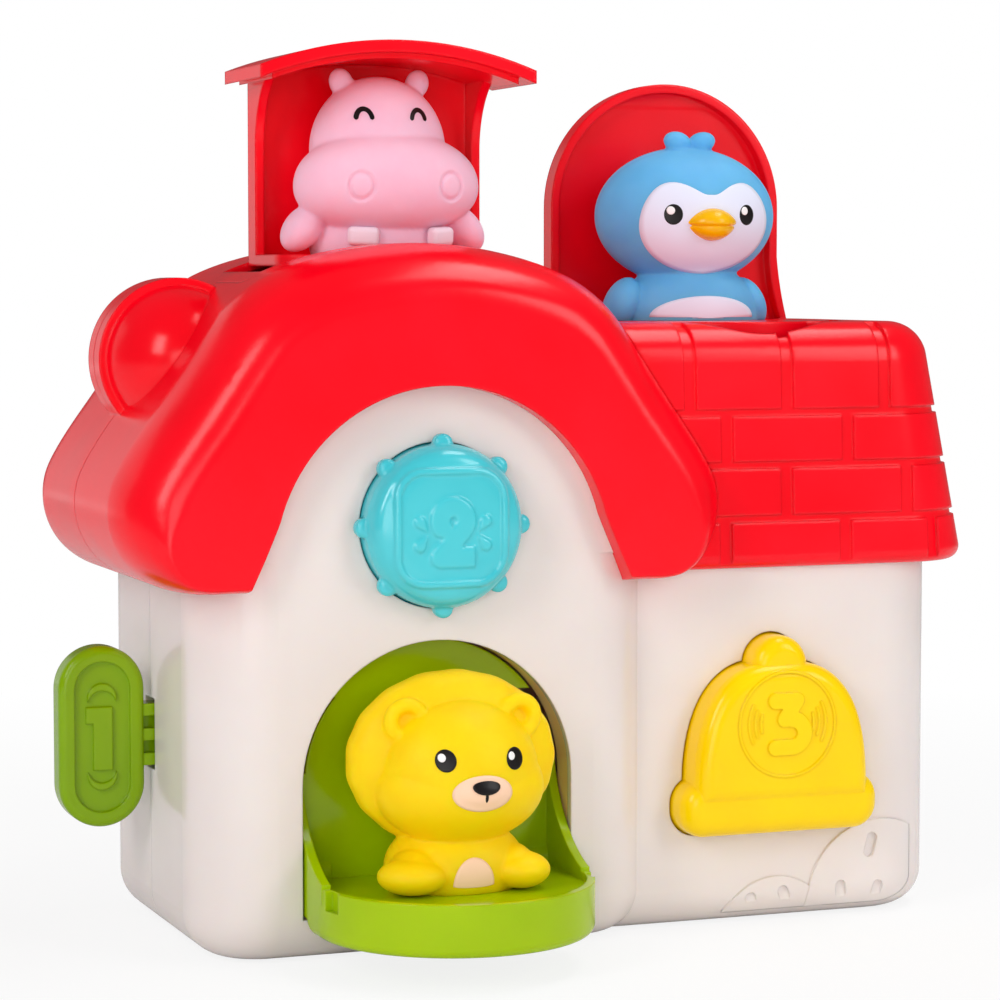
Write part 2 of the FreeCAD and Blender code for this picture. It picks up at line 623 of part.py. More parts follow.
tray = tray_plan(TRAY_R, TRAY_UNDER, TRAY_LIP)
tray = tray.makeFillet(2.5, [e for e in edges_where(tray, at_z(TRAY_UNDER))
                             if not all(v.Y > LION_Y - 4 for v in e.Vertexes)])
tray = tray.cut(tray_plan(TRAY_R - 2.2, TRAY_FLOOR, TRAY_LIP + 5))
ramp = Part.Face(Part.makePolygon([V(-200, -57, 0), V(-200, -57, TRAY_UNDER), V(-200, -53.5, SILL + 0.8),
                                   V(-200, -20, SILL + 0.8), V(-200, -20, 0), V(-200, -57, 0)]))
tray = tray.cut(ramp.extrude(V(300, 0, 0)))
barrel = rod(AX, V(HOUSE_X - TRAY_R, LION_Y, LION_Z), LION_Z - SILL - 0.8, 2 * TRAY_R)
tray = tray.fuse(barrel.common(box(-200, 200, -80, 0, 0, TRAY_FLOOR)))
back = box(HOUSE_X - TRAY_R, HOUSE_X + TRAY_R, LION_Y - 2.9, LION_Y - 0.4, 14, DOOR_Z)
back = back.fuse(rod(AY, V(HOUSE_X, LION_Y - 2.9, DOOR_Z), TRAY_R, 2.5)).removeSplitter()
bite = rod(AY, V(HOUSE_X, LION_Y - 5, DOOR_Z), 50, 8).cut(rod(AY, V(HOUSE_X, LION_Y - 6, DOOR_Z), 33, 10))
back = back.cut(bite.common(box(-200, 200, -80, 0, 47.5, 67)))
tray = tray.fuse(back)
cheek_line = Part.Arc(V(0, LION_Y - 2.9, 46), V(0, LION_Y - 11, 32.5), V(0, LION_Y - 27, 23)).toShape()
cheek_wire = Part.Wire([cheek_line, Part.makeLine(V(0, LION_Y - 27, 23), V(0, LION_Y - 27, 18)),
                        Part.makeLine(V(0, LION_Y - 27, 18), V(0, LION_Y - 2, 18)),
                        Part.makeLine(V(0, LION_Y - 2, 18), V(0, LION_Y - 2, 46)),
                        Part.makeLine(V(0, LION_Y - 2, 46), V(0, LION_Y - 2.9, 46))])
for s in (-1, 1):
    x0, x1 = sorted((HOUSE_X + s * TRAY_R, HOUSE_X + s * (TRAY_R - 2.4)))
    cheek = Part.Face(cheek_wire).extrude(V(2.4, 0, 0))
    cheek.translate(V(x0, 0, 0))
    knuckle = rod(AX, V(min(x0, x1 - 10) if s < 0 else x1 - 10, LION_Y, LION_Z), 4.2, 10)
    if s < 0:
        knuckle = rod(AX, V(x0, LION_Y, LION_Z), 4.2, 10)
    tray = tray.fuse(cheek).fuse(knuckle)
    notch = box(HOUSE_X + s * TRAY_R - 2.3, HOUSE_X + s * TRAY_R + 2.3, -74, -68, 17, TRAY_LIP + 3)
    tray = tray.cut(notch)
tray = tray.cut(rod(AX, V(HOUSE_X + SPRING_U, LION_Y, LION_Z), 4.6, 7))
tray = tray.cut(rod(AX, V(HOUSE_X - 60, LION_Y, LION_Z), PIN_R + RUN, 120)).removeSplitter()
emit("lion_tray", tray)
emit("lion_hinge_pin", rod(AX, V(HOUSE_X - PIN_HALF, LION_Y, LION_Z), PIN_R, 2 * PIN_HALF))
emit("lion_spring", coil(V(HOUSE_X + SPRING_U + 0.8, LION_Y, LION_Z), AX, 2.6, 0.45, 4, 5.0))

above_tray = box(-200, 200, -120, 0, TRAY_FLOOR, 120)
lion_parts = [ellipsoid(V(LION_X, FIGURE_Y + 2, 52.8), 28.0, 10.5, 23.0),
              ellipsoid(V(LION_X, FIGURE_Y - 4, 48.7), 22.8, 17.0, 19.6),
              ellipsoid(V(LION_X, FIGURE_Y, 27), 18.5, 14.5, 13.0)]
for s in (-1, 1):
    lion_parts.append(ellipsoid(V(LION_X + s * 15.0, FIGURE_Y - 5, 67.0), 6.2, 3.6, 6.0))
    lion_parts.append(ellipsoid(V(LION_X + s * 14.8, FIGURE_Y - 11, 24.0), 9.4, 8.5, 5.2))
lion = lion_parts[0].multiFuse(lion_parts[1:]).common(above_tray)
emit("lion_figure", lion)

# ---- hippo lift -----------------------------------------------------------------------------------
def crown_band(r0, r1, half, y0, y1):
    ring = rod(AY, V(HOUSE_X, y0, CROWN_Z), r1, y1 - y0).cut(rod(AY, V(HOUSE_X, y0, CROWN_Z), r0, y1 - y0))
    return ring.common(box(HOUSE_X - half, HOUSE_X + half, y0, y1, CROWN_Z, CROWN_Z + 200))


lid = crown_band(CROWN_R - LID_THICK, CROWN_R, LID_HALF, LID_FRONT, LID_REAR)
lid_rim = crown_band(CROWN_R - LID_THICK - 1.5, CROWN_R - LID_THICK, LID_HALF - 4, LID_FRONT + 3, LID_REAR)
lid = lid.fuse(lid_rim)
under_lid = rod(AY, V(HOUSE_X, -60, CROWN_Z), CROWN_R - LID_THICK - 0.5, 120)
flange_line = Part.Arc(V(0, 4, 209), V(0, -1.5, 224), V(0, -15, 231)).toShape()
flange_wire = Part.Wire([flange_line, Part.makeLine(V(0, -15, 231), V(0, -15, 240)),
                         Part.makeLine(V(0, -15, 240), V(0, LID_REAR, 240)),
                         Part.makeLine(V(0, LID_REAR, 240), V(0, LID_REAR, DECK_UNDER)),
                         Part.makeLine(V(0, LID_REAR, DECK_UNDER), V(0, 4, DECK_UNDER)),
                         Part.makeLine(V(0, 4, DECK_UNDER), V(0, 4, 209))])
back_wall = box(HOUSE_X - NICHE_HALF, HOUSE_X + NICHE_HALF, LID_REAR - WALL, LID_REAR, DECK_UNDER, 240)
lift = lid.fuse(back_wall.common(under_lid))
for s in (-1, 1):
    side = Part.Face(flange_wire).extrude(V(WALL, 0, 0))
    side.translate(V(HOUSE_X - NICHE_HALF if s < 0 else HOUSE_X + NICHE_HALF - WALL, 0, 0))
    lift = lift.fuse(side.common(under_lid))
deck = box(HOUSE_X - NICHE_HALF, HOUSE_X + NICHE_HALF, -21, LID_REAR, DECK_UNDER, DECK_TOP)
deck = deck.makeFillet(8, [e for e in edges_where(deck, upright(-200)) if e.Vertexes[0].Y < 0])
tail = box(HOUSE_X - TAIL_HALF, HOUSE_X + TAIL_HALF, LID_REAR - 3, LID_REAR, BAR_LOW, DECK_UNDER + 1)
bar = box(HOUSE_X - 25, HOUSE_X + 25, LID_REAR - 1, ROD_Y + 5, BAR_LOW, BAR_HIGH)
for s in (-1, 1):
    bar = bar.cut(rod(AZ, V(HOUSE_X + s * ROD_HALF, ROD_Y, 130), ROD_R + RUN, 40))
tail = tail.cut(box(HOUSE_X + 1.5, HOUSE_X + 20, LID_REAR - 4, LID_REAR - 1, 143.5, 148.8))
lift = lift.fuse(deck).fuse(tail).fuse(bar).removeSplitter()
emit("hippo_lift", lift)

above_deck = box(-200, 200, -60, LID_REAR - WALL - 0.05, DECK_TOP, DECK_TOP + 80)
hippo_parts = [ellipsoid(V(HIPPO_X, HIPPO_Y, DECK_TOP + 29), 20.0, 12.0, 19.5),
               ellipsoid(V(HIPPO_X, HIPPO_Y - 4.5, DECK_TOP + 19.5), 25.7, 13.6, 15.0),
               ellipsoid(V(HIPPO_X, HIPPO_Y, DECK_TOP + 7), 21.0, 11.0, 13.0)]
for s in (-1, 1):
    hippo_parts.append(ellipsoid(V(HIPPO_X + s * 11.0, HIPPO_Y + 1, DECK_TOP + 46.5), 4.2, 2.6, 4.4))
    hippo_parts.append(ellipsoid(V(HIPPO_X + s * 22.0, HIPPO_Y - 1, DECK_TOP + 8), 7.2, 7.0, 10.0))
    tooth_x = HIPPO_X + s * 11.5
    tooth = box(tooth_x - 4, tooth_x + 4, HIPPO_Y - 12.5, HIPPO_Y - 8, DECK_TOP + 2.6, DECK_TOP + 9)
    hippo_parts.append(tooth)
emit("hippo_figure", hippo_parts[0].multiFuse(hippo_parts[1:]).common(above_deck))

# inner frame: plate with two shelves, spring cup and the latch guides
frame = box(FRAME_X0, FRAME_X1, FRAME_Y, FRAME_Y + 2.5, 74, 156)
frame = frame.cut(box(HOUSE_X - 26, HOUSE_X + 26, FRAME_Y - 1, FRAME_Y + 4, 92, 140))
frame = frame.fuse(box(HOUSE_X - 27, HOUSE_X + 27, LID_REAR + 0.8, FRAME_Y + 1, SHELF_LOW - 3, SHELF_LOW))
frame = frame.fuse(box(HOUSE_X - 27, HOUSE_X + 27, LID_REAR + 1.0, FRAME_Y + 1, SHELF_HIGH, SHELF_HIGH + 3))
frame = frame.fuse(rod(AZ, V(HOUSE_X, ROD_Y, 73), 8.0, SHELF_LOW - 73))
frame = frame.cut(rod(AZ, V(HOUSE_X, ROD_Y, 75), 6.6, 20))
for s in (-1, 1):
    ear_x = HOUSE_X + s * 31.0
    arm = box(ear_x - 3, ear_x + 3, LATCH_Y - 2, FRAME_Y + 1, LATCH_Z - 2, LATCH_Z + LATCH_HIGH + 2)
    arm = arm.cut(box(ear_x - 5, ear_x + 5, LATCH_Y - SEAT, LATCH_Y + LATCH_DEEP + SEAT,
                      LATCH_Z - SEAT, LATCH_Z + LATCH_HIGH + SEAT))
    frame = frame.fuse(arm)
    frame = frame.cut(rod(AZ, V(HOUSE_X + s * ROD_HALF, ROD_Y, 70), ROD_R, 100))
for x, z in FRAME_POSTS:
    frame = frame.cut(rod(AY, V(x, FRAME_Y - 1, z), SCREW_R, 6))
emit("inner_frame", frame.removeSplitter())
rods = [rod(AZ, V(HOUSE_X + s * ROD_HALF, ROD_Y, SHELF_LOW - 3), ROD_R, SHELF_HIGH - SHELF_LOW + 6)
        for s in (-1, 1)]
emit("lift_guide_rods", Part.makeCompound(rods))
emit("lift_spring", coil(V(HOUSE_X, ROD_Y, 75.4), AZ, 5.4, 0.4, 9, BAR_LOW - 75.8))
frame_screws = [rod(AY, V(x, FRAME_Y - 2, z), HEAD_R, 2).fuse(rod(AY, V(x, FRAME_Y - 1, z), SCREW_R, 12))
                for x, z in FRAME_POSTS]
emit("frame_screws", Part.makeCompound(frame_screws))

# ---- penguin flap ---------------------------------------------------------------------------------
top_smooth = brick_solid(0.0, 0.0)
top_under = brick_solid(WALL, 0.0)
lid_top = flap_prism(0.0, FLAP_TIP, BRICK_TOP - FLAP_DEEP, BRICK_TOP + 7).common(top_smooth)
dish = flap_prism(-WALL, FLAP_TIP, BRICK_TOP - 23, BRICK_TOP + 7).common(top_under)
lid_top = lid_top.cut(dish.common(box(-50, 200, -80, FLAP_Y - 3, 0, BRICK_TOP + 40)))
hub = rod(AX, V(FLAP_X - FLAP_R, FLAP_Y, FLAP_Z), 3.0, 2 * FLAP_R)
flap = lid_top.fuse(hub)
flap.rotate(V(0, FLAP_Y, FLAP_Z), AX, -90)
def stage_plan(r, z0, z1):
    cy = DECK_TIP + DECK_R
    block = box(FLAP_X - r, FLAP_X + r, cy, FLAP_Y - 1.5, z0, z1)
    nose = rod(AZ, V(FLAP_X, cy, z0), r, z1 - z0).common(box(-50, 200, -80, cy, z0, z1))
    return block.fuse(nose).removeSplitter()


stage = stage_plan(DECK_R, BRICK_TOP - 5, BRICK_TOP)
stage = stage.cut(stage_plan(DECK_R - 2.0, BRICK_TOP - 9, BRICK_TOP - WALL))
stage = stage.cut(box(69.5, 76.5, -40, -27, BRICK_TOP - 9, BRICK_TOP + 1))
flap = flap.fuse(stage).cut(rod(AX, V(0, FLAP_Y, FLAP_Z), PIN_R + RUN, 120)).removeSplitter()
flap = flap.cut(rod(AX, V(30, FLAP_Y, FLAP_Z), 3.2, 7))
emit("penguin_flap", flap)
emit("penguin_hinge_pin", rod(AX, V(HINGE_X0, FLAP_Y, FLAP_Z), PIN_R, HINGE_X1 - HINGE_X0))
emit("penguin_spring", coil(V(30.9, FLAP_Y, FLAP_Z), AX, 2.3, 0.4, 4, 5.0))
above_stage = box(-50, 200, -60, 60, BRICK_TOP, BRICK_TOP + 100)
penguin = [ellipsoid(V(PENGUIN_X, PENGUIN_Y, BRICK_TOP + 29.3), 27.0, 19.0, 19.4),
           ellipsoid(V(PENGUIN_X, PENGUIN_Y - 1, BRICK_TOP + 9), 19.5, 14.0, 13.0)]
for s in (-1, 1):
    penguin.append(ellipsoid(V(PENGUIN_X + s * 19.5, PENGUIN_Y - 2, BRICK_TOP + 9.5), 6.0, 6.5, 8.5))
    penguin.append(ellipsoid(V(PENGUIN_X - 2 + s * 3.8, PENGUIN_Y - 1, BRICK_TOP + 49.5), 4.2, 3.4, 3.4))
penguin_solid = penguin[0].multiFuse(penguin[1:]).common(above_stage)
beak = ellipsoid(V(PENGUIN_X, PENGUIN_Y - 18.4, BRICK_TOP + 27.4), 6.9, 4.2, 4.4)
emit("penguin_figure", penguin_solid.cut(beak))
emit("penguin_beak", beak)

# ---- knob -----------------------------------------------------------------------------------------
barrel = rod(AY, V(KNOB_X, KNOB_FACE, KNOB_Z), KNOB_R, -49.5 - KNOB_FACE)
barrel = barrel.makeFillet(3.0, on_face(barrel, KNOB_FACE))
knob = barrel.fuse(rod(AY, V(KNOB_X, -49.3, KNOB_Z), 23.8, 2.0))
knob = knob.fuse(rod(AY, V(KNOB_X, -50, KNOB_Z), KNOB_R - 1, 2))
knob = knob.cut(rod(AY, V(KNOB_X, KNOB_FACE + 3, KNOB_Z), KNOB_R - 2.5, 30))
knob = knob.fuse(rod(AY, V(KNOB_X, KNOB_FACE + 2, KNOB_Z), 6.5, HUB_END - KNOB_FACE - 2))
knob = knob.cut(rod(AY, V(KNOB_X, KNOB_FACE + 5.5, KNOB_Z), 3.0, 30))
for i in range(8):
    a = math.radians(45 * i)
    peg = rod(AY, V(KNOB_X + KNOB_R * math.cos(a), -59.5, KNOB_Z + KNOB_R * math.sin(a)), 2.6, 5.5)
    knob = knob.fuse(peg.makeFillet(1.6, [e for e in peg.Edges if e.Closed]).cut(
        rod(AY, V(KNOB_X, -62, KNOB_Z), KNOB_R - 2.5, 30)))
panel = box(KNOB_X - 15.2, KNOB_X + 15.2, KNOB_FACE - 0.8, KNOB_FACE + 0.5, KNOB_Z - 15.2, KNOB_Z + 15.2)
panel = panel.makeFillet(8.0, along_y(panel, 1))
inner_panel = box(KNOB_X - 13.7, KNOB_X + 13.7, KNOB_FACE - 2, KNOB_FACE + 2, KNOB_Z - 13.7, KNOB_Z + 13.7)
inner_panel = inner_panel.makeFillet(6.6, along_y(inner_panel, 1))
knob = knob.fuse(panel.cut(inner_panel))
two_x, two_z = KNOB_X + 0.3, KNOB_Z + 1.8
bowl = arc_about(two_x, two_z, 3.5, 208, -36)
bowl_end = bowl.Vertexes[-1].Point
foot_z = KNOB_Z - 7.6
digit = stroke([bowl], DIGIT_WIDE, KNOB_FACE - RELIEF, KNOB_FACE + 0.5)
digit = digit.fuse(stroke([line(bowl_end.x, bowl_end.z, KNOB_X - 3.1, foot_z),
                           line(KNOB_X - 3.1, foot_z, KNOB_X + 3.4, foot_z)],
                          DIGIT_WIDE, KNOB_FACE - RELIEF, KNOB_FACE + 0.5))
digit = digit.fuse(box(KNOB_X + 2, KNOB_X + 6.1, KNOB_FACE - RELIEF, KNOB_FACE + 0.5,
                       foot_z - DIGIT_WIDE / 2, foot_z + DIGIT_WIDE / 2))
knob = knob.fuse(digit)
for s in (-1, 1):
    for z, tip_z in ((KNOB_Z + 1.6, KNOB_Z - 0.9), (KNOB_Z - 4.6, KNOB_Z - 2.1)):
        splash = drop(two_x + s * 8.9, z, 1.35, two_x + s * 7.0, tip_z, KNOB_FACE - RELIEF, KNOB_FACE + 0.5)
        knob = knob.fuse(splash)
emit("knob_2", knob.removeSplitter())
shaft = rod(AY, V(KNOB_X, HUB_END, KNOB_Z), SHAFT_R, -5.0 - HUB_END)
shaft = shaft.fuse(rod(AY, V(KNOB_X, -56.5, KNOB_Z), 3.0, 18))
emit("knob_shaft", shaft)
clip = rod(AY, V(KNOB_X, -38.8, KNOB_Z), 7.0, 1.2).cut(rod(AY, V(KNOB_X, -40, KNOB_Z), SHAFT_R, 5))
emit("knob_clip", clip)
cam = rod(AY, V(KNOB_X, -8.0, KNOB_Z), 7.0, 6.0).cut(rod(AY, V(KNOB_X, -9, KNOB_Z), SHAFT_R, 4))
cam = cam.fuse(box(KNOB_X - 3, KNOB_X + 3, -5, -2, KNOB_Z - CRANK_ARM, KNOB_Z))
cam = cam.fuse(rod(AY, V(KNOB_X, -5, KNOB_Z - CRANK_ARM), 3, 3))
cam = cam.cut(rod(AY, V(KNOB_X, -9, KNOB_Z), SHAFT_R, 4))
cam = cam.fuse(rod(AY, V(KNOB_X, -3, KNOB_Z - CRANK_ARM), 1.8, 9.5))
emit("knob_cam", cam)
emit("knob_spring", coil(V(KNOB_X, -37.0, KNOB_Z), AY, 5.6, 0.45, 5, 28.0))
slider = box(KNOB_X - 37, KNOB_X + 37, LATCH_Y, LATCH_Y + LATCH_DEEP, LATCH_Z, LATCH_Z + LATCH_HIGH)
slider = slider.cut(box(KNOB_X - 2.1, KNOB_X + 2.1, 0, 10, 99.4, 110))
slider = slider.fuse(box(KNOB_X + 5, KNOB_X + 12, LATCH_Y, LATCH_Y + LATCH_DEEP, 90.8, LATCH_Z))
slider = slider.fuse(box(KNOB_X + 8, KNOB_X + 12, LATCH_Y, LID_REAR - 1.3, 90.8, 94.8)).removeSplitter()
emit("hippo_latch", slider)

# ---- bell -----------------------------------------------------------------------------------------
brim = box(BELL_X - 29, BELL_X + 29, BELL_FACE + 1, BELL_BACK, 25.5, 41)
brim = brim.makeFillet(6.9, along_y(brim, 1))
brim = brim.makeFillet(5.0, on_face(brim, BELL_FACE + 1))
dome_pts = [V(25.5, 0, 34), V(25.4, 0, 42), V(23.2, 0, 56), V(19, 0, 64.5), V(12, 0, 70.2), V(0, 0, 72.0)]
curve = Part.BSplineCurve()
curve.interpolate(dome_pts + [V(-p.x, 0, p.z) for p in reversed(dome_pts[:-1])])
wire = Part.Wire([curve.toShape(), line(-25.5, 34, 25.5, 34)])
dome = Part.Face(wire)
dome.translate(V(BELL_X, BELL_FACE, 0))
dome = dome.extrude(V(0, BELL_BACK - BELL_FACE, 0))
dome = dome.makeFillet(4.5, on_face(dome, BELL_FACE))
crown = rod(AY, V(BELL_X, BELL_FACE + 2, 71), 8.0, BELL_BACK - BELL_FACE - 2)
crown = crown.makeFillet(4.0, [e for e in on_face(crown, BELL_FACE + 2) if e.Closed])
bell = brim.fuse(dome).fuse(crown)
hollow = bell_prism(-WALL, BELL_FACE + 4, BELL_BACK + 1)
bell = bell.cut(hollow).fuse(bell_prism(2.0, BELL_BACK, BELL_BACK + 1.5))
halo = rod(AY, V(BELL_X, BELL_FACE - RELIEF / 2, 55.6), 14.5, 2)
halo = halo.cut(rod(AY, V(BELL_X, BELL_FACE - 1, 55.6), 13.7, 4))
top_z, mid_z, low_z = 62.0, 56.0, 49.4
top_bar = stroke([line(BELL_X - 3.6, top_z, BELL_X + 2.6, top_z),
                  line(BELL_X + 2.6, top_z, BELL_X - 0.9, mid_z + 1.0)],
                 DIGIT_WIDE - 0.6, BELL_FACE - RELIEF, BELL_FACE + 1)
bowl_r = (mid_z + 0.9 - low_z) / 2
low_bowl = stroke([arc_about(BELL_X + 1.2, low_z + bowl_r, bowl_r, 90, -90),
                   line(BELL_X + 1.2, low_z, BELL_X - 3.6, low_z)],
                  DIGIT_WIDE - 0.6, BELL_FACE - RELIEF, BELL_FACE + 1)
bell = bell.fuse(halo).fuse(top_bar).fuse(low_bowl)
for side in (0, 180):
    for radius, spread in ((7.8, 17), (9.5, 22), (11.3, 27)):
        wave = stroke([arc_about(BELL_X, mid_z, radius, side - spread, side + spread)], 0.8,
                      BELL_FACE - RELIEF / 2, BELL_FACE + 1)
        bell = bell.fuse(wave)
bell = bell.fuse(rod(AY, V(BELL_X, BELL_BACK - 3, BELL_MID_Z), 3.0, 3 + 18.2))
emit("bell_3", bell.removeSplitter())
riser = box(BELL_X - 1.8, BELL_X + 1.8, RISER_Y - 2.5, RISER_Y + 4.5, 48, 60)
riser = riser.fuse(box(BELL_X - 1.8, BELL_X + 1.8, RISER_Y, RISER_Y + 4.5, 48, 98))
riser = riser.fuse(rod(AY, V(BELL_X, RISER_Y - 2.5, BELL_MID_Z), 5.0, 3))
riser = riser.cut(rod(AY, V(BELL_X, -50, BELL_MID_Z), 3.0, 27))
emit("bell_riser", riser)
emit("bell_spring", coil(V(BELL_X, BELL_BACK + 2.0, BELL_MID_Z), AY, 4.0, 0.4, 4, 8.6))
# plan of the catch about its pivot: toe by the bell's riser, heel under the flap
crank_pts = [(-18, -14.9), (-14.5, -14.9), (-13, -14.4), (2, -4), (4, 0), (2, 4),
             (0.5, 25.6), (-4.5, 25.6), (-3.5, 3), (-18, -10), (-18, -14.9)]
crank = Part.Face(Part.makePolygon([V(CRANK_X + x, CRANK_Y + y, 0) for x, y in crank_pts]))
crank = crank.extrude(V(0, 0, 3.5))
crank.translate(V(0, 0, CRANK_Z + 0.3))
crank = crank.fuse(box(CRANK_X - 4.5, CRANK_X + 0.2, CRANK_Y + 22.5, CRANK_Y + 25.6, CRANK_Z + 0.3, 103))
crank = crank.cut(rod(AZ, V(CRANK_X, CRANK_Y, 80), PIN_R + RUN, 30))
emit("penguin_latch", crank)
emit("penguin_latch_pin", rod(AZ, V(CRANK_X, CRANK_Y, CRANK_Z - 3), PIN_R, 7.5))

# ---- key ------------------------------------------------------------------------------------------
def stadium(half_x, half_z, y0, y1):
    block = box(KEY_X - half_x, KEY_X + half_x, y0, y1, KEY_Z - half_z + half_x, KEY_Z + half_z - half_x)
    for s in (-1, 1):
        block = block.fuse(rod(AY, V(KEY_X, y0, KEY_Z + s * (half_z - half_x)), half_x, y1 - y0))
    return block.removeSplitter()


half = KEY_THICK / 2
paddle = stadium(KEY_HALF_X, KEY_HALF_Z, -half, half)
paddle = paddle.makeFillet(2.0, [e for e in paddle.Edges if abs(e.Vertexes[0].Y - e.Vertexes[-1].Y) < 0.01])
for s in (-1, 1):
    y0, y1 = sorted((s * (half - 1.3), s * (half + 1)))
    paddle = paddle.cut(stadium(7.5, 20.0, y0, y1))
    y0, y1 = sorted((s * (half - 2), s * (half - 0.4)))
    digit = box(KEY_X - 2.4, KEY_X + 2.8, y0, y1, KEY_Z - 8.8, KEY_Z + 7.9)
    digit = digit.fuse(box(KEY_X - 4.3, KEY_X, y0, y1, KEY_Z + 3.6, KEY_Z + 7.9)).removeSplitter()
    paddle = paddle.fuse(digit)
    for way in (-1, 1):
        moon = rod(AY, V(KEY_X, y0, KEY_Z + way * 10.2), 3.9, y1 - y0)
        moon = moon.cut(rod(AY, V(KEY_X, y0 - 1, KEY_Z + way * 8.4), 3.9, y1 - y0 + 2))
        paddle = paddle.fuse(moon)
neck = box(KEY_X + KEY_HALF_X - 2, LEFT + 9.2, -1.2, 1.2, KEY_Z - 8.2, KEY_Z + 8.2)
for dz in (-6.6, 0.0, 6.6):
    neck = neck.fuse(box(KEY_X + KEY_HALF_X - 2, LEFT + 9.2, -3.6, 3.6, KEY_Z + dz - 1.6, KEY_Z + dz + 1.6))
key_in = LEFT + WALL
key = paddle.fuse(neck.common(box(KEY_X, key_in + 1, -10, 10, 0, 90)))
key = key.fuse(box(key_in + 0.2, key_in + 2.2, -7, 7, KEY_Z - 12.5, KEY_Z + 12.5))
key = key.fuse(rod(AX, V(key_in + 2, 0, KEY_Z), 3.0, LEVER_X + 2.8 - key_in - 2)).removeSplitter()
emit("key_1", key)
emit("key_spring", coil(V(key_in + 2.6, 0, KEY_Z), AX, 3.9, 0.4, 3, 2.9))
# the lever's heel follows the key stem, its hook follows the tray's edge
hook_x = HOUSE_X - TRAY_R
lever_pts = [(LEVER_X + 3, 2), (LEVER_X + 6, 2), (LEVER_X + 6, -4),
             (LEVER_X + 3.4, -16), (LEVER_X + 3.4, -23),
             (hook_x - 2.75, -38.9), (hook_x + 2.05, -39.0), (hook_x + 2.05, -42.6), (hook_x - 5.25, -43),
             (LEVER_X - 3, -24), (LEVER_X - 3, -16), (LEVER_X + 3.6, -4), (LEVER_X + 3, 2)]
lever = Part.Face(Part.makePolygon([V(x, y, 0) for x, y in lever_pts])).extrude(V(0, 0, 4.0))
lever.translate(V(0, 0, 51.2))
lever = lever.fuse(rod(AZ, V(LEVER_X, LEVER_Y, LEVER_Z + 0.2), 3.3, 11))
lever = lever.cut(rod(AZ, V(LEVER_X, LEVER_Y, 30), PIN_R + RUN, 40))
emit("lion_latch", lever.removeSplitter())
emit("lion_latch_pin", rod(AZ, V(LEVER_X, LEVER_Y, LEVER_Z - 3), PIN_R, 15.2))
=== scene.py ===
"""House-shaped pop-up toy: looks, figures, floor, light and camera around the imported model."""
import json
import math

import bpy
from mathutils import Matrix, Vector

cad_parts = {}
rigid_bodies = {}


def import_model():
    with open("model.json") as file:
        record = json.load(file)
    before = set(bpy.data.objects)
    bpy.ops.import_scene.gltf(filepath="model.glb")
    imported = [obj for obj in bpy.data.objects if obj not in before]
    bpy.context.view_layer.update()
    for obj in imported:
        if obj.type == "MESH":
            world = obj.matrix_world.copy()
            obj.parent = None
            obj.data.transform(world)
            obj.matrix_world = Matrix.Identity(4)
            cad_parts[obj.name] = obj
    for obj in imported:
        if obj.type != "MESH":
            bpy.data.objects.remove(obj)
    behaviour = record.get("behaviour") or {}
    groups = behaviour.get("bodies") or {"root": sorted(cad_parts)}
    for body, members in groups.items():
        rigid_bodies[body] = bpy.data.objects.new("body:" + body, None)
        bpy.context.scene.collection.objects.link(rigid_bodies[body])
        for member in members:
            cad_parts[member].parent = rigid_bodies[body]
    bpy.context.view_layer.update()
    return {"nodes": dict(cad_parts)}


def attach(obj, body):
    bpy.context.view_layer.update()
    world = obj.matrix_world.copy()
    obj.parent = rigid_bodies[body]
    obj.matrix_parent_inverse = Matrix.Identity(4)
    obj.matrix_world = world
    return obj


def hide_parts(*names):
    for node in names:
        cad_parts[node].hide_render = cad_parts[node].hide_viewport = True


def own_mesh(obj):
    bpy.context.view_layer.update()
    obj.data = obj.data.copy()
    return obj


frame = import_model()
cad = frame["nodes"]


# ---- body shells: two injection-moulded ABS halves, screwed together from the back ----------------
# Warm white ABS from a polished mould: clear reflections, a trace of grain, slightly translucent edges.
def linear(hex_colour):
    """sRGB hex to the linear values that shaders use."""
    parts = [int(hex_colour[i:i + 2], 16) / 255 for i in (1, 3, 5)]
    return [c / 12.92 if c <= 0.04045 else ((c + 0.055) / 1.055) ** 2.4 for c in parts] + [1.0]


def add_node(material, kind, settings=None, links=None):
    """Adds one shader node, sets its sockets or properties, and links what feeds it."""
    node = material.node_tree.nodes.new("ShaderNode" + kind)
    for name, value in (settings or {}).items():
        if name in node.inputs:
            node.inputs[name].default_value = value
        else:
            setattr(node, name, value)
    for name, source in (links or {}).items():
        material.node_tree.links.new(source, node.inputs[name])
    return node


def emptied(block):
    """A material or the world, with its node tree on and empty."""
    block.use_nodes = True
    block.node_tree.nodes.clear()
    return block


# Real mould grain is finer than a tenth of a millimetre; it is drawn at 0.5 to 1.6 mm so that it shows.
FLOW_CLOUD = 0.030      # metres across one cloud of the flow marks
MM_PER_M = 1000


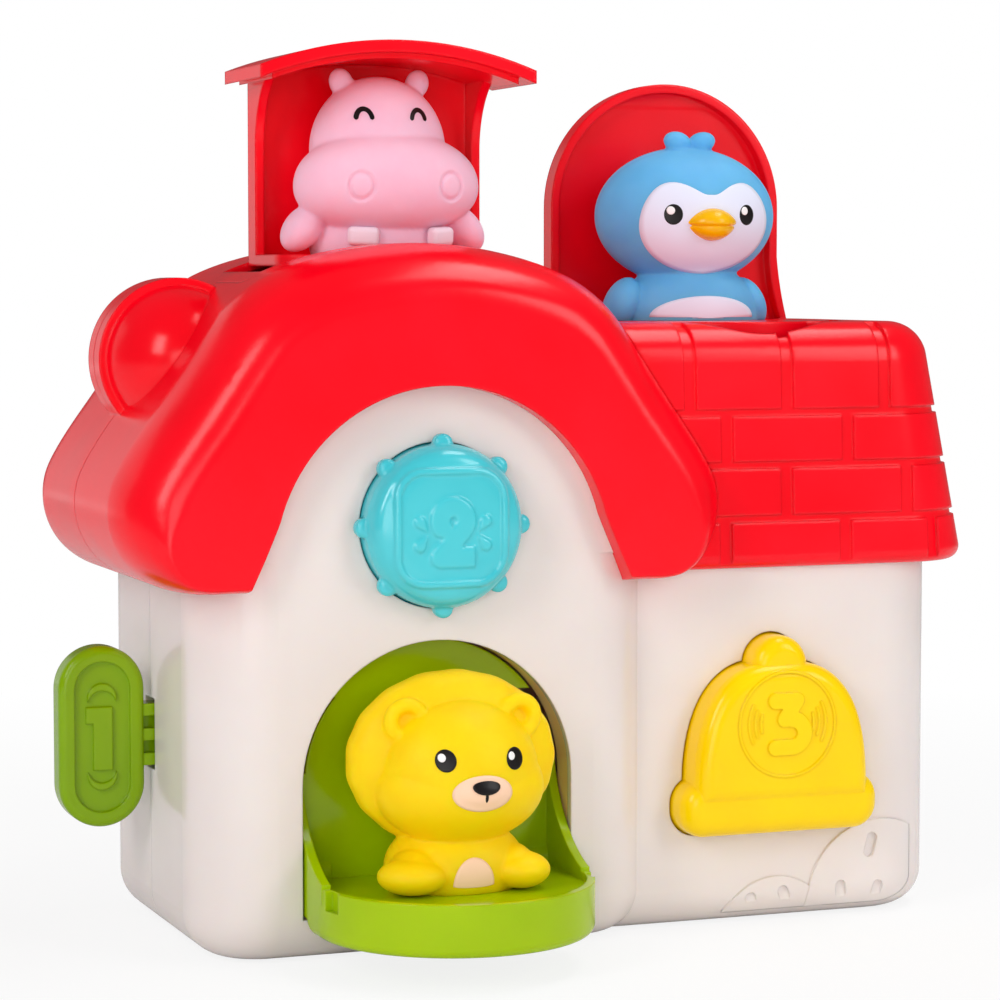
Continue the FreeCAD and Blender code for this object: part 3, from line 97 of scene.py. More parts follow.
def moulded_abs(name, colour, shade, rough, rough_spread, grain_mm, grain_depth, gleam=0.5, edge_mm=0.7,
                glow=0.0):
    """Injection-moulded ABS: nearly even colour, faint flow clouds, a fine grain and softened edges."""
    material = emptied(bpy.data.materials.new(name))
    place = add_node(material, "TexCoord")
    flow = add_node(material, "TexNoise", {"Scale": 1 / FLOW_CLOUD, "Detail": 2.0, "Roughness": 0.5},
                    {"Vector": place.outputs["Object"]})
    tint = add_node(material, "ValToRGB", {}, {"Fac": flow.outputs["Fac"]})
    tint.color_ramp.elements[0].position = 0.35
    tint.color_ramp.elements[0].color = linear(shade)
    tint.color_ramp.elements[1].position = 0.65
    tint.color_ramp.elements[1].color = linear(colour)
    grain = add_node(material, "TexNoise", {"Scale": MM_PER_M / grain_mm, "Detail": 3.0, "Roughness": 0.6},
                     {"Vector": place.outputs["Object"]})
    gloss = add_node(material, "MapRange",
                     {"From Min": 0.3, "From Max": 0.7, "To Min": rough - rough_spread,
                      "To Max": rough + rough_spread}, {"Value": flow.outputs["Fac"]})
    edge = add_node(material, "Bevel", {"samples": 6, "Radius": edge_mm / MM_PER_M})
    bump = add_node(material, "Bump", {"Strength": 0.35, "Distance": grain_depth},
                    {"Height": grain.outputs["Fac"], "Normal": edge.outputs["Normal"]})
    shader = add_node(material, "BsdfPrincipled",
                      {"IOR": 1.53, "Specular IOR Level": gleam, "Subsurface Weight": glow,
                       "Subsurface Radius": (1.0, 0.45, 0.2), "Subsurface Scale": 0.003},
                      {"Base Color": tint.outputs["Color"], "Roughness": gloss.outputs["Result"],
                       "Normal": bump.outputs["Normal"]})
    add_node(material, "OutputMaterial", {}, {"Surface": shader.outputs["BSDF"]})
    return material


def dress(material, *names):
    for name in names:
        cad[name].data.materials.clear()
        cad[name].data.materials.append(material)


satin_white_abs = moulded_abs("satin_white_abs", "#EAE0DC", "#E7DCD8", 0.13, 0.01, 0.5, 0.000006, glow=0.15)
dress(satin_white_abs, "front_shell", "rear_shell")

# ---- screws, pins, rods and springs: zinc-plated and spring steel ---------------------------------
# Small parts deep in their holes; grey, slightly brushed and only just shiny.
STEEL_SCUFF = 0.0012    # metres between scuffs
plated_steel = emptied(bpy.data.materials.new("plated_steel"))
steel_place = add_node(plated_steel, "TexCoord")
steel_scuff = add_node(plated_steel, "TexNoise", {"Scale": 1 / STEEL_SCUFF, "Detail": 4.0},
                       {"Vector": steel_place.outputs["Object"]})
steel_rough = add_node(plated_steel, "MapRange", {"To Min": 0.24, "To Max": 0.42},
                       {"Value": steel_scuff.outputs["Fac"]})
steel_bump = add_node(plated_steel, "Bump", {"Strength": 0.2, "Distance": 0.00003},
                      {"Height": steel_scuff.outputs["Fac"]})
steel_shader = add_node(plated_steel, "BsdfPrincipled", {"Base Color": linear("#B9BABC"), "Metallic": 1.0},
                        {"Roughness": steel_rough.outputs["Result"], "Normal": steel_bump.outputs["Normal"]})
add_node(plated_steel, "OutputMaterial", {}, {"Surface": steel_shader.outputs["BSDF"]})
dress(plated_steel, "shell_screws", "roof_screws", "wing_roof_screw", "frame_screws", "lift_guide_rods",
      "lift_spring", "lion_hinge_pin", "lion_spring", "penguin_hinge_pin", "penguin_spring", "lion_latch_pin",
      "penguin_latch_pin", "key_spring", "knob_spring", "knob_clip", "bell_spring")

# ---- inner frame and catches: plain grey-white acetal, hidden inside the house ---------------------
# Working parts that slide on each other, so a waxy plastic with no polish.
waxy_acetal = moulded_abs("waxy_acetal", "#D9DAD8", "#CFD0CE", 0.46, 0.04, 0.8, 0.00003)
dress(waxy_acetal, "inner_frame", "knob_shaft", "knob_cam", "hippo_latch", "bell_riser", "penguin_latch",
      "lion_latch")

# ---- roofs: high-gloss red ABS, the big roof with an ear and the brick roof of the wing ------------
# Polished mould, so long soft highlights along the rounds and a faint orange peel.
gloss_red_abs = moulded_abs("gloss_red_abs", "#FF001C", "#F60018", 0.22, 0.03, 1.6, 0.000006, gleam=0.27,
                            edge_mm=1.0)
dress(gloss_red_abs, "roof_front", "roof_rear", "wing_roof_front", "wing_roof_rear")

# ---- lion door and key: green ABS, the tray lighter than the key -----------------------------------
# The tray is one glossy moulding with rounded edges, and the lion is fixed on its floor.
gloss_green_abs = moulded_abs("gloss_green_abs", "#A6C600", "#9EBE00", 0.14, 0.02, 1.4, 0.000006, gleam=0.22,
                              glow=0.2)
leaf_green_abs = moulded_abs("leaf_green_abs", "#86AC00", "#7EA400", 0.18, 0.02, 1.4, 0.000008, gleam=0.25)
dress(gloss_green_abs, "lion_tray")
dress(leaf_green_abs, "key_1")

# ---- knob and bell ---------------------------------------------------------------------------------
# Aqua turning knob with grip pegs, and the yellow bell button; both half-gloss ABS.
gloss_aqua_abs = moulded_abs("gloss_aqua_abs", "#4CCBD6", "#42C2CE", 0.16, 0.02, 1.0, 0.000006)
gloss_yellow_abs = moulded_abs("gloss_yellow_abs", "#FFD800", "#FFD000", 0.18, 0.02, 1.2, 0.000008,
                               gleam=0.22)
dress(gloss_yellow_abs, "bell_3")

# ---- hippo lift and penguin flap -------------------------------------------------------------------
# The same red as the roofs that they close.
dress(gloss_red_abs, "hippo_lift", "penguin_flap")

# ---- knob drum: a copy of the knob with a rolled face ----------------------------------------------
# The face rolls over to the side in one wide round, and the copy takes the node's place.
MM = 0.001
MERGE_MM = 0.002        # vertices nearer than this are one


def pick_only(*objects):
    bpy.ops.object.select_all(action="DESELECT")
    for piece in objects:
        piece.select_set(True)
    bpy.context.view_layer.objects.active = objects[0]


def finish_modifier(piece, kind, **settings):
    """Adds a modifier with its settings and applies it."""
    modifier = piece.modifiers.new(kind, kind)
    for name, value in settings.items():
        setattr(modifier, name, value)
    pick_only(piece)
    bpy.ops.object.modifier_apply(modifier=modifier.name)


def ride_with(body, slot_name, material, *pieces):
    for piece in pieces:
        piece.data.materials.clear()
        piece.data.materials.append(material)
        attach(piece, body)


def merged_copy(node, name):
    """A copy of a node's mesh with its loose triangles joined."""
    pick_only(cad[node])
    bpy.ops.object.duplicate()
    copy = bpy.context.object
    bpy.ops.object.parent_clear(type="CLEAR_KEEP_TRANSFORM")
    copy.name = name
    bpy.ops.object.mode_set(mode="EDIT")
    bpy.ops.mesh.select_all(action="SELECT")
    bpy.ops.mesh.remove_doubles(threshold=MERGE_MM * MM)
    bpy.ops.object.mode_set(mode="OBJECT")
    return copy


def melt(piece, voxel_mm, smooth):
    """Makes a piece one even skin and smooths its edges over."""
    finish_modifier(piece, "REMESH", mode="VOXEL", voxel_size=voxel_mm * MM)
    finish_modifier(piece, "SMOOTH", factor=0.5, iterations=smooth)
    pick_only(piece)
    bpy.ops.object.shade_smooth()


KNOB_X, KNOB_Z, KNOB_R = -45.0, 111.6, 21.1
KNOB_FACE, KNOB_SKIRT = -62.0, -50.5
KNOB_ROUND = 7.5        # radius of the roll at the rim
ROLL_END = 0.97         # share of the roll's quarter circle that is used
ROLL_DEPTH = 0.62       # depth of the roll against a full quarter circle
knob = merged_copy("knob_2", "aqua_knob")
melt(knob, 0.34, 1)
for vertex in knob.data.vertices:
    off = math.hypot(vertex.co.x / MM - KNOB_X, vertex.co.z / MM - KNOB_Z) - (KNOB_R - KNOB_ROUND)
    off = min(max(off, 0), ROLL_END * KNOB_ROUND)
    share = min(max((KNOB_SKIRT - vertex.co.y / MM) / (KNOB_SKIRT - KNOB_FACE), 0), 1)
    vertex.co.y += ROLL_DEPTH * share * (KNOB_ROUND - math.sqrt(KNOB_ROUND ** 2 - off ** 2)) * MM
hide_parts("knob_2")
ride_with("knob", "knob_aqua", gloss_aqua_abs, knob)

# ---- lift spring: plated wire, hidden in the house --------------------------------------------------
# A joined copy of the spring node, with its own mesh, that stays with the house.
spring = merged_copy("lift_spring", "lift_spring_wire")
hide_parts("lift_spring")
ride_with("house", "steel", plated_steel, spring)
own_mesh(spring)

# ---- doorway jamb: the inward lip round the doorway ---------------------------------------------------
# It closes the gap beside the tray's back wall. Its peach colour is painted warm light: the lion's yellow
# light painted onto a white lip.
DOOR_X, DOOR_R, DOOR_Z, DOOR_SILL = -45.0, 36.8, 45.2, 13.0
JAMB_FRONT, JAMB_BACK, JAMB_THICK = -49.6, -42.0, 1.2
STRAIGHT = DOOR_Z - DOOR_SILL
ROUTE = 2 * STRAIGHT + math.pi * DOOR_R     # up one side, over the arch and down the other
bpy.ops.object.select_all(action="DESELECT")
bpy.ops.mesh.primitive_grid_add(x_subdivisions=80, y_subdivisions=3, size=2)
jamb = bpy.context.object
jamb.name = "doorway_jamb"
for vertex in jamb.data.vertices:
    run = (vertex.co.x + 1) / 2 * ROUTE
    depth = JAMB_FRONT + (vertex.co.y + 1) / 2 * (JAMB_BACK - JAMB_FRONT)
    if run < STRAIGHT:
        at = (-DOOR_R, DOOR_SILL + run)
    elif run > ROUTE - STRAIGHT:
        at = (DOOR_R, DOOR_SILL + ROUTE - run)
    else:
        turn = math.pi - (run - STRAIGHT) / DOOR_R
        at = (DOOR_R * math.cos(turn), DOOR_Z + DOOR_R * math.sin(turn))
    vertex.co = ((DOOR_X + at[0]) * MM, depth * MM, at[1] * MM)
finish_modifier(jamb, "SOLIDIFY", thickness=JAMB_THICK * MM, offset=1.0)
# Painted light: the peach colour stands in for the lion's warm light falling on the white lip; the subsurface
# glow is real translucency.
jamb_painted_lion_light = moulded_abs("jamb_painted_lion_light", "#FFD09A", "#FFC88E", 0.3, 0.02, 0.5, 0.00001, gleam=0.3, glow=0.4)
ride_with("house", "shell_white", jamb_painted_lion_light, jamb)

# ---- lion: one soft vinyl figure on the tray, face pad-printed -------------------------------------
# Matte moulded vinyl: broad soft light, slightly translucent at thin edges. Its pores are finer than
# 0.4 mm in a real one and are drawn at that size so that they show.
VINYL_CLOUD, VINYL_PORE, INK_FILM = 0.012, 0.0004, 0.0010      # sizes of the patterns, in metres


def soft_vinyl(name, colour, shade, radius):
    """Soft vinyl; radius says how far each of red, green and blue travels inside it."""
    material = emptied(bpy.data.materials.new(name))
    place = add_node(material, "TexCoord")
    cloud = add_node(material, "TexNoise", {"Scale": 1 / VINYL_CLOUD, "Detail": 2.0},
                     {"Vector": place.outputs["Object"]})
    tint = add_node(material, "ValToRGB", {}, {"Fac": cloud.outputs["Fac"]})
    tint.color_ramp.elements[0].position = 0.3
    tint.color_ramp.elements[0].color = linear(shade)
    tint.color_ramp.elements[1].position = 0.7
    tint.color_ramp.elements[1].color = linear(colour)
    pores = add_node(material, "TexNoise", {"Scale": 1 / VINYL_PORE, "Detail": 3.0},
                     {"Vector": place.outputs["Object"]})
    bump = add_node(material, "Bump", {"Strength": 0.4, "Distance": 0.00003},
                    {"Height": pores.outputs["Fac"]})
    shader = add_node(material, "BsdfPrincipled",
                      {"IOR": 1.5, "Specular IOR Level": 0.2, "Roughness": 0.5, "Subsurface Weight": 0.5,
                       "Subsurface Radius": radius, "Subsurface Scale": 0.006},
                      {"Base Color": tint.outputs["Color"], "Normal": bump.outputs["Normal"]})
    add_node(material, "OutputMaterial", {}, {"Surface": shader.outputs["BSDF"]})
    return material


def round_part(x, y, z, rx, ry, rz, tilt=(0, 0, 0)):
    """One rounded volume of a figure, in millimetres, made from a ball."""
    bpy.ops.object.select_all(action="DESELECT")
    bpy.ops.mesh.primitive_uv_sphere_add(segments=64, ring_count=40, radius=1,
                                         location=(x * MM, y * MM, z * MM), rotation=tilt)
    part = bpy.context.object
    part.scale = (rx * MM, ry * MM, rz * MM)
    bpy.ops.object.transform_apply(location=True, rotation=True, scale=True)
    return part


def unit_ball():
    """A ball of radius 1 whose vertices are still to be placed."""
    return round_part(0, 0, 0, 1 / MM, 1 / MM, 1 / MM)


def cut_flat(piece, height_mm):
    """Cuts a figure flat at the height of what it stands on."""
    pick_only(piece)
    bpy.ops.object.mode_set(mode="EDIT")
    bpy.ops.mesh.select_all(action="SELECT")
    bpy.ops.mesh.bisect(plane_co=(0, 0, height_mm * MM), plane_no=(0, 0, 1), clear_inner=True,
                        use_fill=True)
    bpy.ops.object.mode_set(mode="OBJECT")


def cast_figure(name, parts, voxel_mm, smooth, foot_mm):
    """Blends rounded volumes into one skin, as a vinyl casting has."""
    pick_only(*parts)
    bpy.ops.object.join()
    figure = bpy.context.object
    figure.name = name
    melt(figure, voxel_mm, smooth)
    cut_flat(figure, foot_mm)
    pick_only(figure)
    bpy.ops.object.shade_smooth()
    return figure


def face_camera(print_skin):
    """Turns the faces of a thin print to the front, so that its thickness grows inwards."""
    if sum(face.normal.y for face in print_skin.data.polygons) > 0:
        pick_only(print_skin)
        bpy.ops.object.mode_set(mode="EDIT")
        bpy.ops.mesh.select_all(action="SELECT")
        bpy.ops.mesh.flip_normals()
        bpy.ops.object.mode_set(mode="OBJECT")


INK_MM = 0.12           # thickness of a print; most of it is inside the skin


def lay_on(print_skin, figure, lift, thick):
    """Lays a flat print on a figure's skin from the front and thickens it inwards."""
    finish_modifier(print_skin, "SHRINKWRAP", target=figure, wrap_method="PROJECT", use_project_y=True,
                    use_positive_direction=True, use_negative_direction=False, offset=lift * MM)
    face_camera(print_skin)
    finish_modifier(print_skin, "SOLIDIFY", thickness=thick * MM, offset=-1.0)


def printed_spot(name, figure, x, z, outline, front_y, lift=0.06, rings=8, thick=INK_MM):
    """A patch printed on a figure: a disc with the given outline laid on the skin from the front."""
    centre = (x * MM, front_y * MM, z * MM)
    bpy.ops.object.select_all(action="DESELECT")
    bpy.ops.mesh.primitive_circle_add(vertices=96, radius=1, fill_type="NOTHING", location=centre,
                                      rotation=(math.pi / 2, 0, 0))
    spot = bpy.context.object
    spot.name = name
    bpy.ops.object.transform_apply(location=False, rotation=True, scale=True)
    for vertex in spot.data.vertices:
        angle = math.atan2(vertex.co.z, vertex.co.x)
        reach = outline(angle) * MM
        vertex.co = (math.cos(angle) * reach, 0, math.sin(angle) * reach)
    bpy.ops.object.mode_set(mode="EDIT")
    bpy.ops.mesh.select_all(action="SELECT")
    for ring in range(rings - 1):
        share = (rings - ring - 1) / (rings - ring)
        bpy.ops.mesh.extrude_region_move()
        bpy.ops.transform.resize(value=(share, share, share), center_override=centre)
    bpy.ops.mesh.edge_face_add()
    bpy.ops.mesh.poke()
    bpy.ops.mesh.select_all(action="SELECT")
    bpy.ops.mesh.normals_make_consistent(inside=False)
    bpy.ops.object.mode_set(mode="OBJECT")
    bpy.ops.object.transform_apply(location=True, rotation=True, scale=True)
    lay_on(spot, figure, lift, thick)
    pick_only(spot)
    bpy.ops.object.shade_smooth()
    return spot


def oval(half_wide, half_high):
    """An oval as a print's outline: its reach in millimetres at an angle."""
    return lambda a: half_wide * half_high / math.hypot(half_high * math.cos(a), half_wide * math.sin(a))


def egg(half_wide, high, low):
    """An oval with one height above its middle and another below it."""
    return lambda a: oval(half_wide, high if math.sin(a) > 0 else low)(a)


def paint(name, colour, rough):
    """Pad-printing ink or enamel: even colour with a soft gloss and a slightly uneven film."""
    material = emptied(bpy.data.materials.new(name))
    place = add_node(material, "TexCoord")
    film = add_node(material, "TexNoise", {"Scale": 1 / INK_FILM, "Detail": 2.0},
                    {"Vector": place.outputs["Object"]})
    gloss = add_node(material, "MapRange", {"To Min": rough - 0.04, "To Max": rough + 0.04},
                     {"Value": film.outputs["Fac"]})
    bump = add_node(material, "Bump", {"Strength": 0.15, "Distance": 0.00002},
                    {"Height": film.outputs["Fac"]})
    shader = add_node(material, "BsdfPrincipled",
                      {"Base Color": linear(colour), "IOR": 1.5, "Specular IOR Level": 0.3},
                      {"Roughness": gloss.outputs["Result"], "Normal": bump.outputs["Normal"]})
    add_node(material, "OutputMaterial", {}, {"Surface": shader.outputs["BSDF"]})
    return material


yellow_vinyl = soft_vinyl("yellow_vinyl", "#FFD800", "#FFD000", (1.0, 0.4, 0.05))
black_ink = paint("black_ink", "#120C0E", 0.35)
white_ink = paint("white_ink", "#F4F2F2", 0.35)
peach_ink = paint("peach_ink", "#FFD3B4", 0.50)

LION_X, TRAY_Z = -44.8, 20.0
LION_FRONT = -95        # the lion's prints are laid on from here
MANE_Y, MANE_Z, MANE_HALF, MANE_HIGH, MANE_DEEP = -60.3, 52.6, 27.8, 22.6, 10.0
MANE_LOCKS, LOCK_DEPTH, MANE_BLUNT = 17, 0.006, 0.7
mane = unit_ball()
for vertex in mane.data.vertices:
    across, deep, up = vertex.co
    wave = 1 + LOCK_DEPTH * math.cos(MANE_LOCKS * math.atan2(up, across))
    blunt = math.copysign(abs(deep) ** MANE_BLUNT, deep)
    vertex.co = ((LION_X + MANE_HALF * across * wave) * MM, (MANE_Y + MANE_DEEP * blunt) * MM,
                 (MANE_Z + MANE_HIGH * up * wave) * MM)
lion_parts = [
    mane,
    round_part(LION_X, -66.3, 49.8, 20.8, 16.0, 18.8),          # head
    round_part(LION_X, -66.5, 46.0, 22.4, 15.6, 14.4),          # cheeks
    round_part(LION_X + 0.9, -78.6, 46.6, 8.6, 4.6, 5.0),       # muzzle
    round_part(LION_X, -63.0, 25.5, 18.5, 14.6, 12.5),          # chest
]
EAR_Y, EAR_Z, EAR_R, EAR_ROLL = -68.0, 63.7, 4.1, 1.9
for side, paw_wide in ((-1, 8.9), (1, 7.8)):
    lion_parts.append(round_part(LION_X + side * 14.6, -72.2, 24.9, paw_wide, 7.4, 4.7, (0, 0, side * 0.35)))
    lion_parts.append(round_part(LION_X + side * 12.6, -69.0, 26.0, 6.4, 8.0, 5.6))
    bpy.ops.object.select_all(action="DESELECT")
    bpy.ops.mesh.primitive_torus_add(major_segments=48, minor_segments=20, major_radius=EAR_R * MM,
                                     minor_radius=EAR_ROLL * MM,
                                     location=((LION_X + 0.6 + side * 15.2) * MM, EAR_Y * MM, EAR_Z * MM),
                                     rotation=(math.pi / 2, 0, 0))
    ear = bpy.context.object
    bpy.ops.object.transform_apply(location=True, rotation=True, scale=True)
    lion_parts.append(ear)
lion = cast_figure("lion_vinyl", lion_parts, 0.5, 4, TRAY_Z)
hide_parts("lion_figure")
ride_with("lion_door", "lion_yellow", yellow_vinyl, lion)
for side, eye_x, eye_z in (("r", -53.2, 55.0), ("l", -34.6, 54.6)):
    eye = printed_spot("lion_eye_" + side, lion, eye_x, eye_z, oval(2.55, 2.8), LION_FRONT, lift=0.08)
    ride_with("lion_door", "lion_yellow", black_ink, eye)
    glint = printed_spot("lion_eye_light_" + side, eye, eye_x - 0.95, eye_z + 0.75, oval(0.95, 1.05),
                         LION_FRONT, lift=0.05, rings=3, thick=INK_MM / 2)
    ride_with("lion_door", "lion_yellow", white_ink, glint)
FACE_X = LION_X + 1.2
muzzle = printed_spot("lion_muzzle", lion, FACE_X - 0.2, 46.5, oval(8.1, 4.6), LION_FRONT, lift=0.06)
ride_with("lion_door", "lion_yellow", peach_ink, muzzle)
nose = printed_spot("lion_nose", muzzle, FACE_X + 0.3, 48.4, egg(3.7, 1.4, 2.1), LION_FRONT, lift=0.35,
                    thick=0.45)
lip = printed_spot("lion_lip_line", muzzle, FACE_X + 0.3, 45.6, oval(0.42, 1.3), LION_FRONT, lift=0.05,
                   rings=3)
ride_with("lion_door", "lion_yellow", black_ink, nose, lip)
lion_belly = printed_spot("lion_belly", lion, LION_X + 0.3, 22.4, egg(5.5, 7.2, 0.4), LION_FRONT, lift=0.06)
ride_with("lion_door", "lion_yellow", peach_ink, lion_belly)

# ---- hippo: pink vinyl figure on the lift's platform ------------------------------------------------
# Domed head, big muzzle with ringed nostrils, stub ears, two square teeth and printed closed eyes.
pink_vinyl = soft_vinyl("pink_vinyl", "#F4C4D8", "#F1BCD2", (1.0, 0.35, 0.35))
tooth_enamel = paint("tooth_enamel", "#F2DDEA", 0.4)
HIPPO_X, HIPPO_Y, DECK_Z = -44.4, -4.0, 181.0
HIPPO_FRONT = -40       # the closed eyes are laid on from here
STROKE_ROUND = 0.18     # share of an eye's stroke that its round end takes


def printed_arch(name, figure, x, z, wide, high, stroke_mm, front_y, lift=0.08):
    """A closed eye: an arched stroke with round ends, laid on the skin from the front."""
    bpy.ops.object.select_all(action="DESELECT")
    bpy.ops.mesh.primitive_grid_add(x_subdivisions=32, y_subdivisions=6, size=2)
    arch = bpy.context.object
    arch.name = name
    for vertex in arch.data.vertices:
        along, across = vertex.co.x, vertex.co.y
        angle = math.pi / 2 - along * math.radians(86)
        past = max(abs(along) - (1 - STROKE_ROUND), 0)
        cap = math.sqrt(max(1 - past ** 2 / STROKE_ROUND ** 2, 0.0004))
        reach = across * cap * stroke_mm / 2
        vertex.co = ((x + (wide / 2 + reach) * math.cos(angle)) * MM, front_y * MM,
                     (z + (high + reach) * math.sin(angle)) * MM)
    lay_on(arch, figure, lift, INK_MM)
    return arch


MUZZLE_X, MUZZLE_Y, MUZZLE_Z = -44.2, -8.4, 200.4
MUZZLE_HALF, MUZZLE_TAPER, MUZZLE_DEEP, MUZZLE_HIGH, MUZZLE_FULL = 25.6, 1.6, 13.4, 13.8, 0.92
muzzle_ball = unit_ball()
for vertex in muzzle_ball.data.vertices:
    across, out, up = (math.copysign(abs(c) ** MUZZLE_FULL, c) for c in vertex.co)
    spread = MUZZLE_HALF - MUZZLE_TAPER * up
    vertex.co = ((MUZZLE_X + spread * across) * MM, (MUZZLE_Y + MUZZLE_DEEP * out) * MM,
                 (MUZZLE_Z + MUZZLE_HIGH * up) * MM)
hippo_parts = [
    muzzle_ball,
    round_part(HIPPO_X - 0.8, HIPPO_Y, 209.0, 18.9, 12.0, 19.7),        # head
    round_part(HIPPO_X, -3.0, 184.0, 19.5, 12.6, 13.0),                 # chest
]
for side in (-1, 1):
    hippo_parts.append(round_part(HIPPO_X + side * 10.7, HIPPO_Y + 1, 227.0, 3.3, 2.7, 4.0,
                                  (0, side * 0.35, 0)))
    hippo_parts.append(round_part(HIPPO_X + 0.4 + side * 22.6, -5.0, 188.2, 4.9, 6.2, 7.4,
                                  (0, -side * 0.7, 0)))
hippo = cast_figure("hippo_vinyl", hippo_parts, 0.42, 12, DECK_Z)
NOSTRILS = ((-55.0, 199.0), (-29.6, 199.2))
RING_R, RING_WIDE, RING_DEEP, RING_SLIM = 3.5, 0.55, 0.75, 0.9      # the groove round each nostril
for vertex in hippo.data.vertices:
    for nostril_x, nostril_z in NOSTRILS:
        off = math.hypot((vertex.co.x / MM - nostril_x) / RING_SLIM, vertex.co.z / MM - nostril_z)
        if off < 6 and vertex.co.y < -10 * MM:
            vertex.co.y += RING_DEEP * math.exp(-((off - RING_R) / RING_WIDE) ** 2) * MM
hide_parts("hippo_figure")
ride_with("hippo_carrier", "hippo_pink", pink_vinyl, hippo)
for side, eye_x in (("r", -52.2), ("l", -36.8)):
    closed_eye = printed_arch("hippo_eye_" + side, hippo, eye_x, 216.4, 4.3, 3.2, 1.3, HIPPO_FRONT)
    ride_with("hippo_carrier", "hippo_pink", black_ink, closed_eye)
TOOTH_Y, TOOTH_Z, TOOTH_DEEP, TOOTH_HIGH, TOOTH_ROUND = -14.4, 186.0, 4.2, 5.0, 1.4
for side, tooth_x, tooth_wide, turn in (("r", -52.7, 8.4, 0.32), ("l", -31.0, 7.0, -0.32)):
    bpy.ops.object.select_all(action="DESELECT")
    bpy.ops.mesh.primitive_cube_add(size=1, location=(tooth_x * MM, TOOTH_Y * MM, TOOTH_Z * MM),
                                    rotation=(0.12, turn * 0.15, -turn))
    tooth = bpy.context.object
    tooth.name = "hippo_tooth_" + side
    tooth.scale = (tooth_wide * MM, TOOTH_DEEP * MM, TOOTH_HIGH * MM)
    bpy.ops.object.transform_apply(location=True, rotation=True, scale=True)
    finish_modifier(tooth, "BEVEL", width=TOOTH_ROUND * MM, segments=6)
    pick_only(tooth)
    bpy.ops.object.shade_smooth()
    ride_with("hippo_carrier", "hippo_pink", tooth_enamel, tooth)

# ---- penguin: blue vinyl figure on the flap's platform ----------------------------------------------
# Wide head with a printed white face, two-part beak, a two-lobed tuft, short wings and a white belly.
blue_vinyl = soft_vinyl("blue_vinyl", "#6AB8E8", "#60AEE0", (0.3, 0.6, 1.0))
face_ink = paint("face_ink", "#E2E4F6", 0.5)
yellow_enamel = paint("yellow_enamel", "#F4B800", 0.25)
PENGUIN_X, PENGUIN_Y, STAGE_Z = 50.0, 6.0, 163.0
PENGUIN_FRONT = -40     # the penguin's prints are laid on from here
penguin_parts = [
    round_part(PENGUIN_X - 0.6, PENGUIN_Y, 192.3, 26.3, 19.0, 19.3),        # head
    round_part(PENGUIN_X + 0.3, PENGUIN_Y - 1, 165.0, 20.6, 15.0, 15.0),    # chest
]
for side in (-1, 1):
    penguin_parts.append(round_part(PENGUIN_X - 1.4 + side * 19.4, PENGUIN_Y - 2.5, 168.0, 4.6, 6.4, 7.6,
                                    (0, -side * 0.45, 0)))
    penguin_parts.append(round_part(PENGUIN_X + side * 3.7, PENGUIN_Y - 2, 213.0, 4.1, 3.2, 2.9,
                                    (0, -side * 0.25, 0)))
penguin = cast_figure("penguin_vinyl", penguin_parts, 0.5, 4, STAGE_Z)
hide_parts("penguin_figure")
ride_with("penguin_carrier", "penguin_blue", blue_vinyl, penguin)


BROW_DEPTH, BROW_HALF_DEG, BROW_SHARP = 0.49, 36, 3.2


def face_outline(angle):
    """An egg, shrunk at the top between the two round brows."""
    off = abs(math.degrees(angle) - 90)
    notch = BROW_DEPTH * math.exp(-(off / BROW_HALF_DEG) ** BROW_SHARP)
    return egg(19.5, 15.4, 13.9)(angle) * (1 - notch)


face_patch = printed_spot("penguin_face", penguin, 49.6, 190.0, face_outline, PENGUIN_FRONT, lift=0.06,
                          rings=14)
belly_patch = printed_spot("penguin_belly", penguin, 49.8, 164.0, egg(15.6, 5.9, 0.3), PENGUIN_FRONT,
                           lift=0.1)
ride_with("penguin_carrier", "penguin_blue", face_ink, face_patch, belly_patch)
for side, eye_x in (("r", 38.5), ("l", 60.8)):
    eye = printed_spot("penguin_eye_" + side, face_patch, eye_x, 192.4, oval(2.5, 2.85), PENGUIN_FRONT,
                       lift=0.05)
    ride_with("penguin_carrier", "penguin_blue", black_ink, eye)
    glint = printed_spot("penguin_eye_light_" + side, eye, eye_x - 0.75, 193.5, oval(1.1, 1.15),
                         PENGUIN_FRONT, lift=0.05, rings=3, thick=INK_MM / 2)
    ride_with("penguin_carrier", "penguin_blue", white_ink, glint)


BEAK_X, BEAK_Y = 49.8, -12.0


def beak_half(z, wide, deep, up, down, point):
    """One half of the beak: a ball drawn out to a point at each side, fuller above or below."""
    half = unit_ball()
    for vertex in half.data.vertices:
        across, out, lift = vertex.co
        slim = max(1 - across ** 2, 0) ** point
        vertex.co = ((BEAK_X + wide * across) * MM, (BEAK_Y + deep * out * slim) * MM,
                     (z + (up if lift > 0 else down) * lift * slim) * MM)
    return half


beak_parts = [beak_half(190.1, 7.4, 5.8, 4.1, 1.9, 0.3), beak_half(188.9, 6.9, 5.1, 1.5, 3.7, 0.4)]
pick_only(*beak_parts)
bpy.ops.object.join()
beak = bpy.context.object
beak.name = "penguin_beak_enamel"
melt(beak, 0.16, 8)
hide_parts("penguin_beak")
ride_with("penguin_carrier", "beak_orange", yellow_enamel, beak)

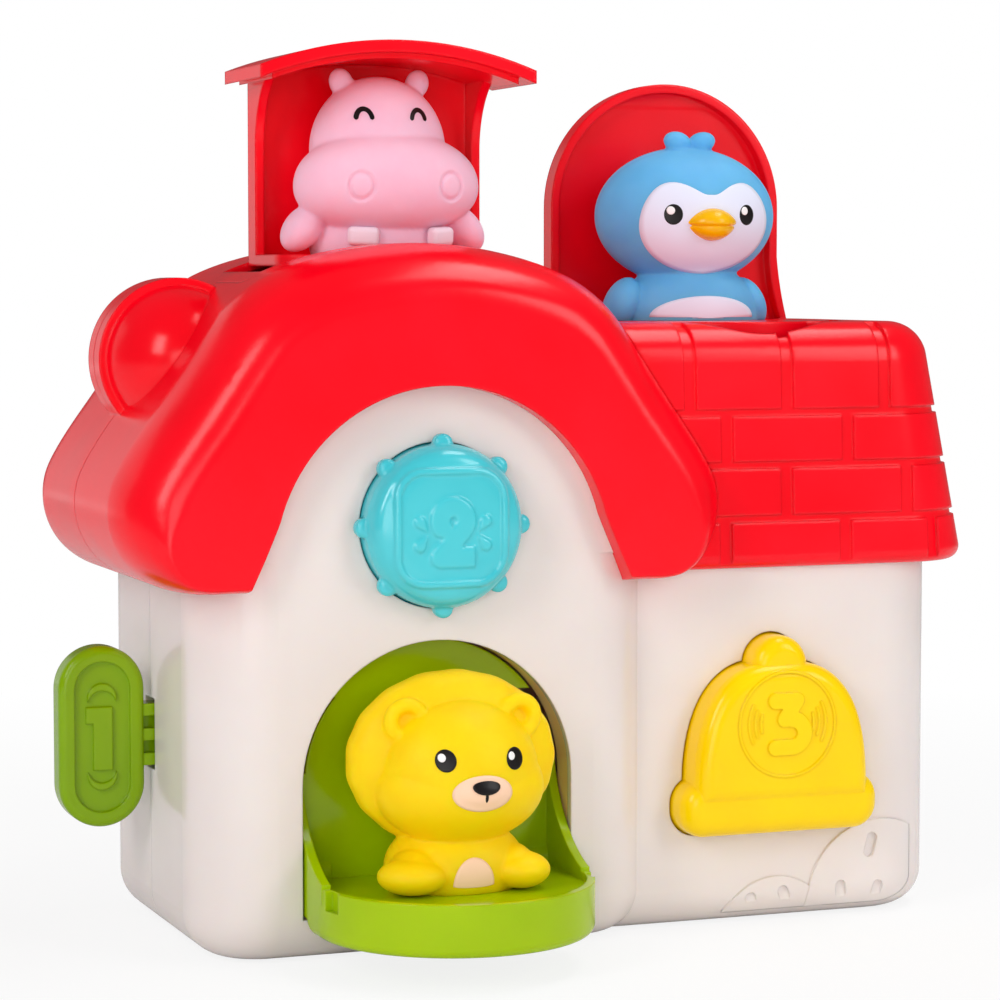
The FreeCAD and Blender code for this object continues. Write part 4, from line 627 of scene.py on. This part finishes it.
# ---- floor, light and camera -----------------------------------------------------------------------
# Plain pale floor that turns to white away from the toy, and five soft lamps. The background is white
# only for rays that see it directly.
bpy.ops.object.select_all(action="DESELECT")
bpy.ops.mesh.primitive_plane_add(size=6, location=(0, 0, -0.0002))
floor = bpy.context.object
floor.name = "floor"
pale_floor = emptied(bpy.data.materials.new("pale_floor"))
floor_ray = add_node(pale_floor, "LightPath")
floor_paper = add_node(pale_floor, "BsdfDiffuse", {"Color": linear("#F2F2F2")})
floor_glow = add_node(pale_floor, "Emission", {"Color": (1, 1, 1, 1), "Strength": 1.0})
floor_place = add_node(pale_floor, "TexCoord")
floor_reach = add_node(pale_floor, "VectorMath", {"operation": "LENGTH"}, {0: floor_place.outputs["Object"]})
FADE_START, FADE_END = 0.16, 0.50      # metres from the middle of the toy
floor_fade = add_node(pale_floor, "MapRange",
                      {"From Min": FADE_START, "From Max": FADE_END, "To Min": 0.84},
                      {"Value": floor_reach.outputs["Value"]})
floor_share = add_node(pale_floor, "MapRange", {}, {"Value": floor_ray.outputs["Is Camera Ray"],
                                                    "To Max": floor_fade.outputs["Result"]})
floor_mix = add_node(pale_floor, "MixShader", {}, {0: floor_share.outputs[0], 1: floor_paper.outputs[0],
                                                   2: floor_glow.outputs[0]})
add_node(pale_floor, "OutputMaterial", {}, {"Surface": floor_mix.outputs[0]})
floor.data.materials.append(pale_floor)

world = bpy.context.scene.world or bpy.data.worlds.new("studio")
bpy.context.scene.world = world
emptied(world)
seen = add_node(world, "LightPath")
mirrored = add_node(world, "MapRange", {"To Min": 0.38, "To Max": 0.12},
                    {"Value": seen.outputs["Is Glossy Ray"]})
level = add_node(world, "MapRange", {"To Max": 1.0},
                 {"Value": seen.outputs["Is Camera Ray"], "To Min": mirrored.outputs["Result"]})
sky = add_node(world, "Background", {"Color": (1, 1, 1, 1)}, {"Strength": level.outputs["Result"]})
add_node(world, "OutputWorld", {}, {"Surface": sky.outputs["Background"]})


def soft_box(name, place, aim, wide, high, power):
    """A rectangular lamp, in metres and watts, turned from its place to what it is aimed at."""
    lamp = bpy.data.lights.new(name, "AREA")
    lamp.shape = "RECTANGLE"
    lamp.size, lamp.size_y, lamp.energy = wide, high, power
    holder = bpy.data.objects.new(name, lamp)
    bpy.context.scene.collection.objects.link(holder)
    holder.location = place
    holder.rotation_euler = (Vector(aim) - Vector(place)).to_track_quat("-Z", "Y").to_euler()


soft_box("lamp_left", (-0.95, -0.60, 0.65), (0, 0, 0.10), 0.30, 0.60, 4.4)
soft_box("lamp_right", (0.70, -0.90, 0.60), (0, 0, 0.10), 0.40, 0.65, 3.8)
soft_box("lamp_top", (0.40, -0.09, 1.1), (0, 0, 0.10), 0.7, 0.32, 3.8)
soft_box("lamp_front", (-0.45, -1.00, 0.22), (0, 0, 0.12), 0.5, 0.5, 2.3)
soft_box("lamp_backdrop", (-0.85, 1.20, 0.35), (-0.10, 0, 0.10), 1.3, 1.2, 3.0)

camera = bpy.data.cameras.new("camera")
camera.sensor_width = 36.0
camera.lens = 114.06
camera.clip_start = 0.05
viewer = bpy.data.objects.new("camera", camera)
bpy.context.scene.collection.objects.link(viewer)
viewer.location = (-0.3170, -0.8160, 0.1746)
viewer.rotation_euler = (math.radians(86.01), 0, math.radians(-20.71))
bpy.context.scene.camera = viewer
bpy.context.scene.view_settings.view_transform = "Standard"
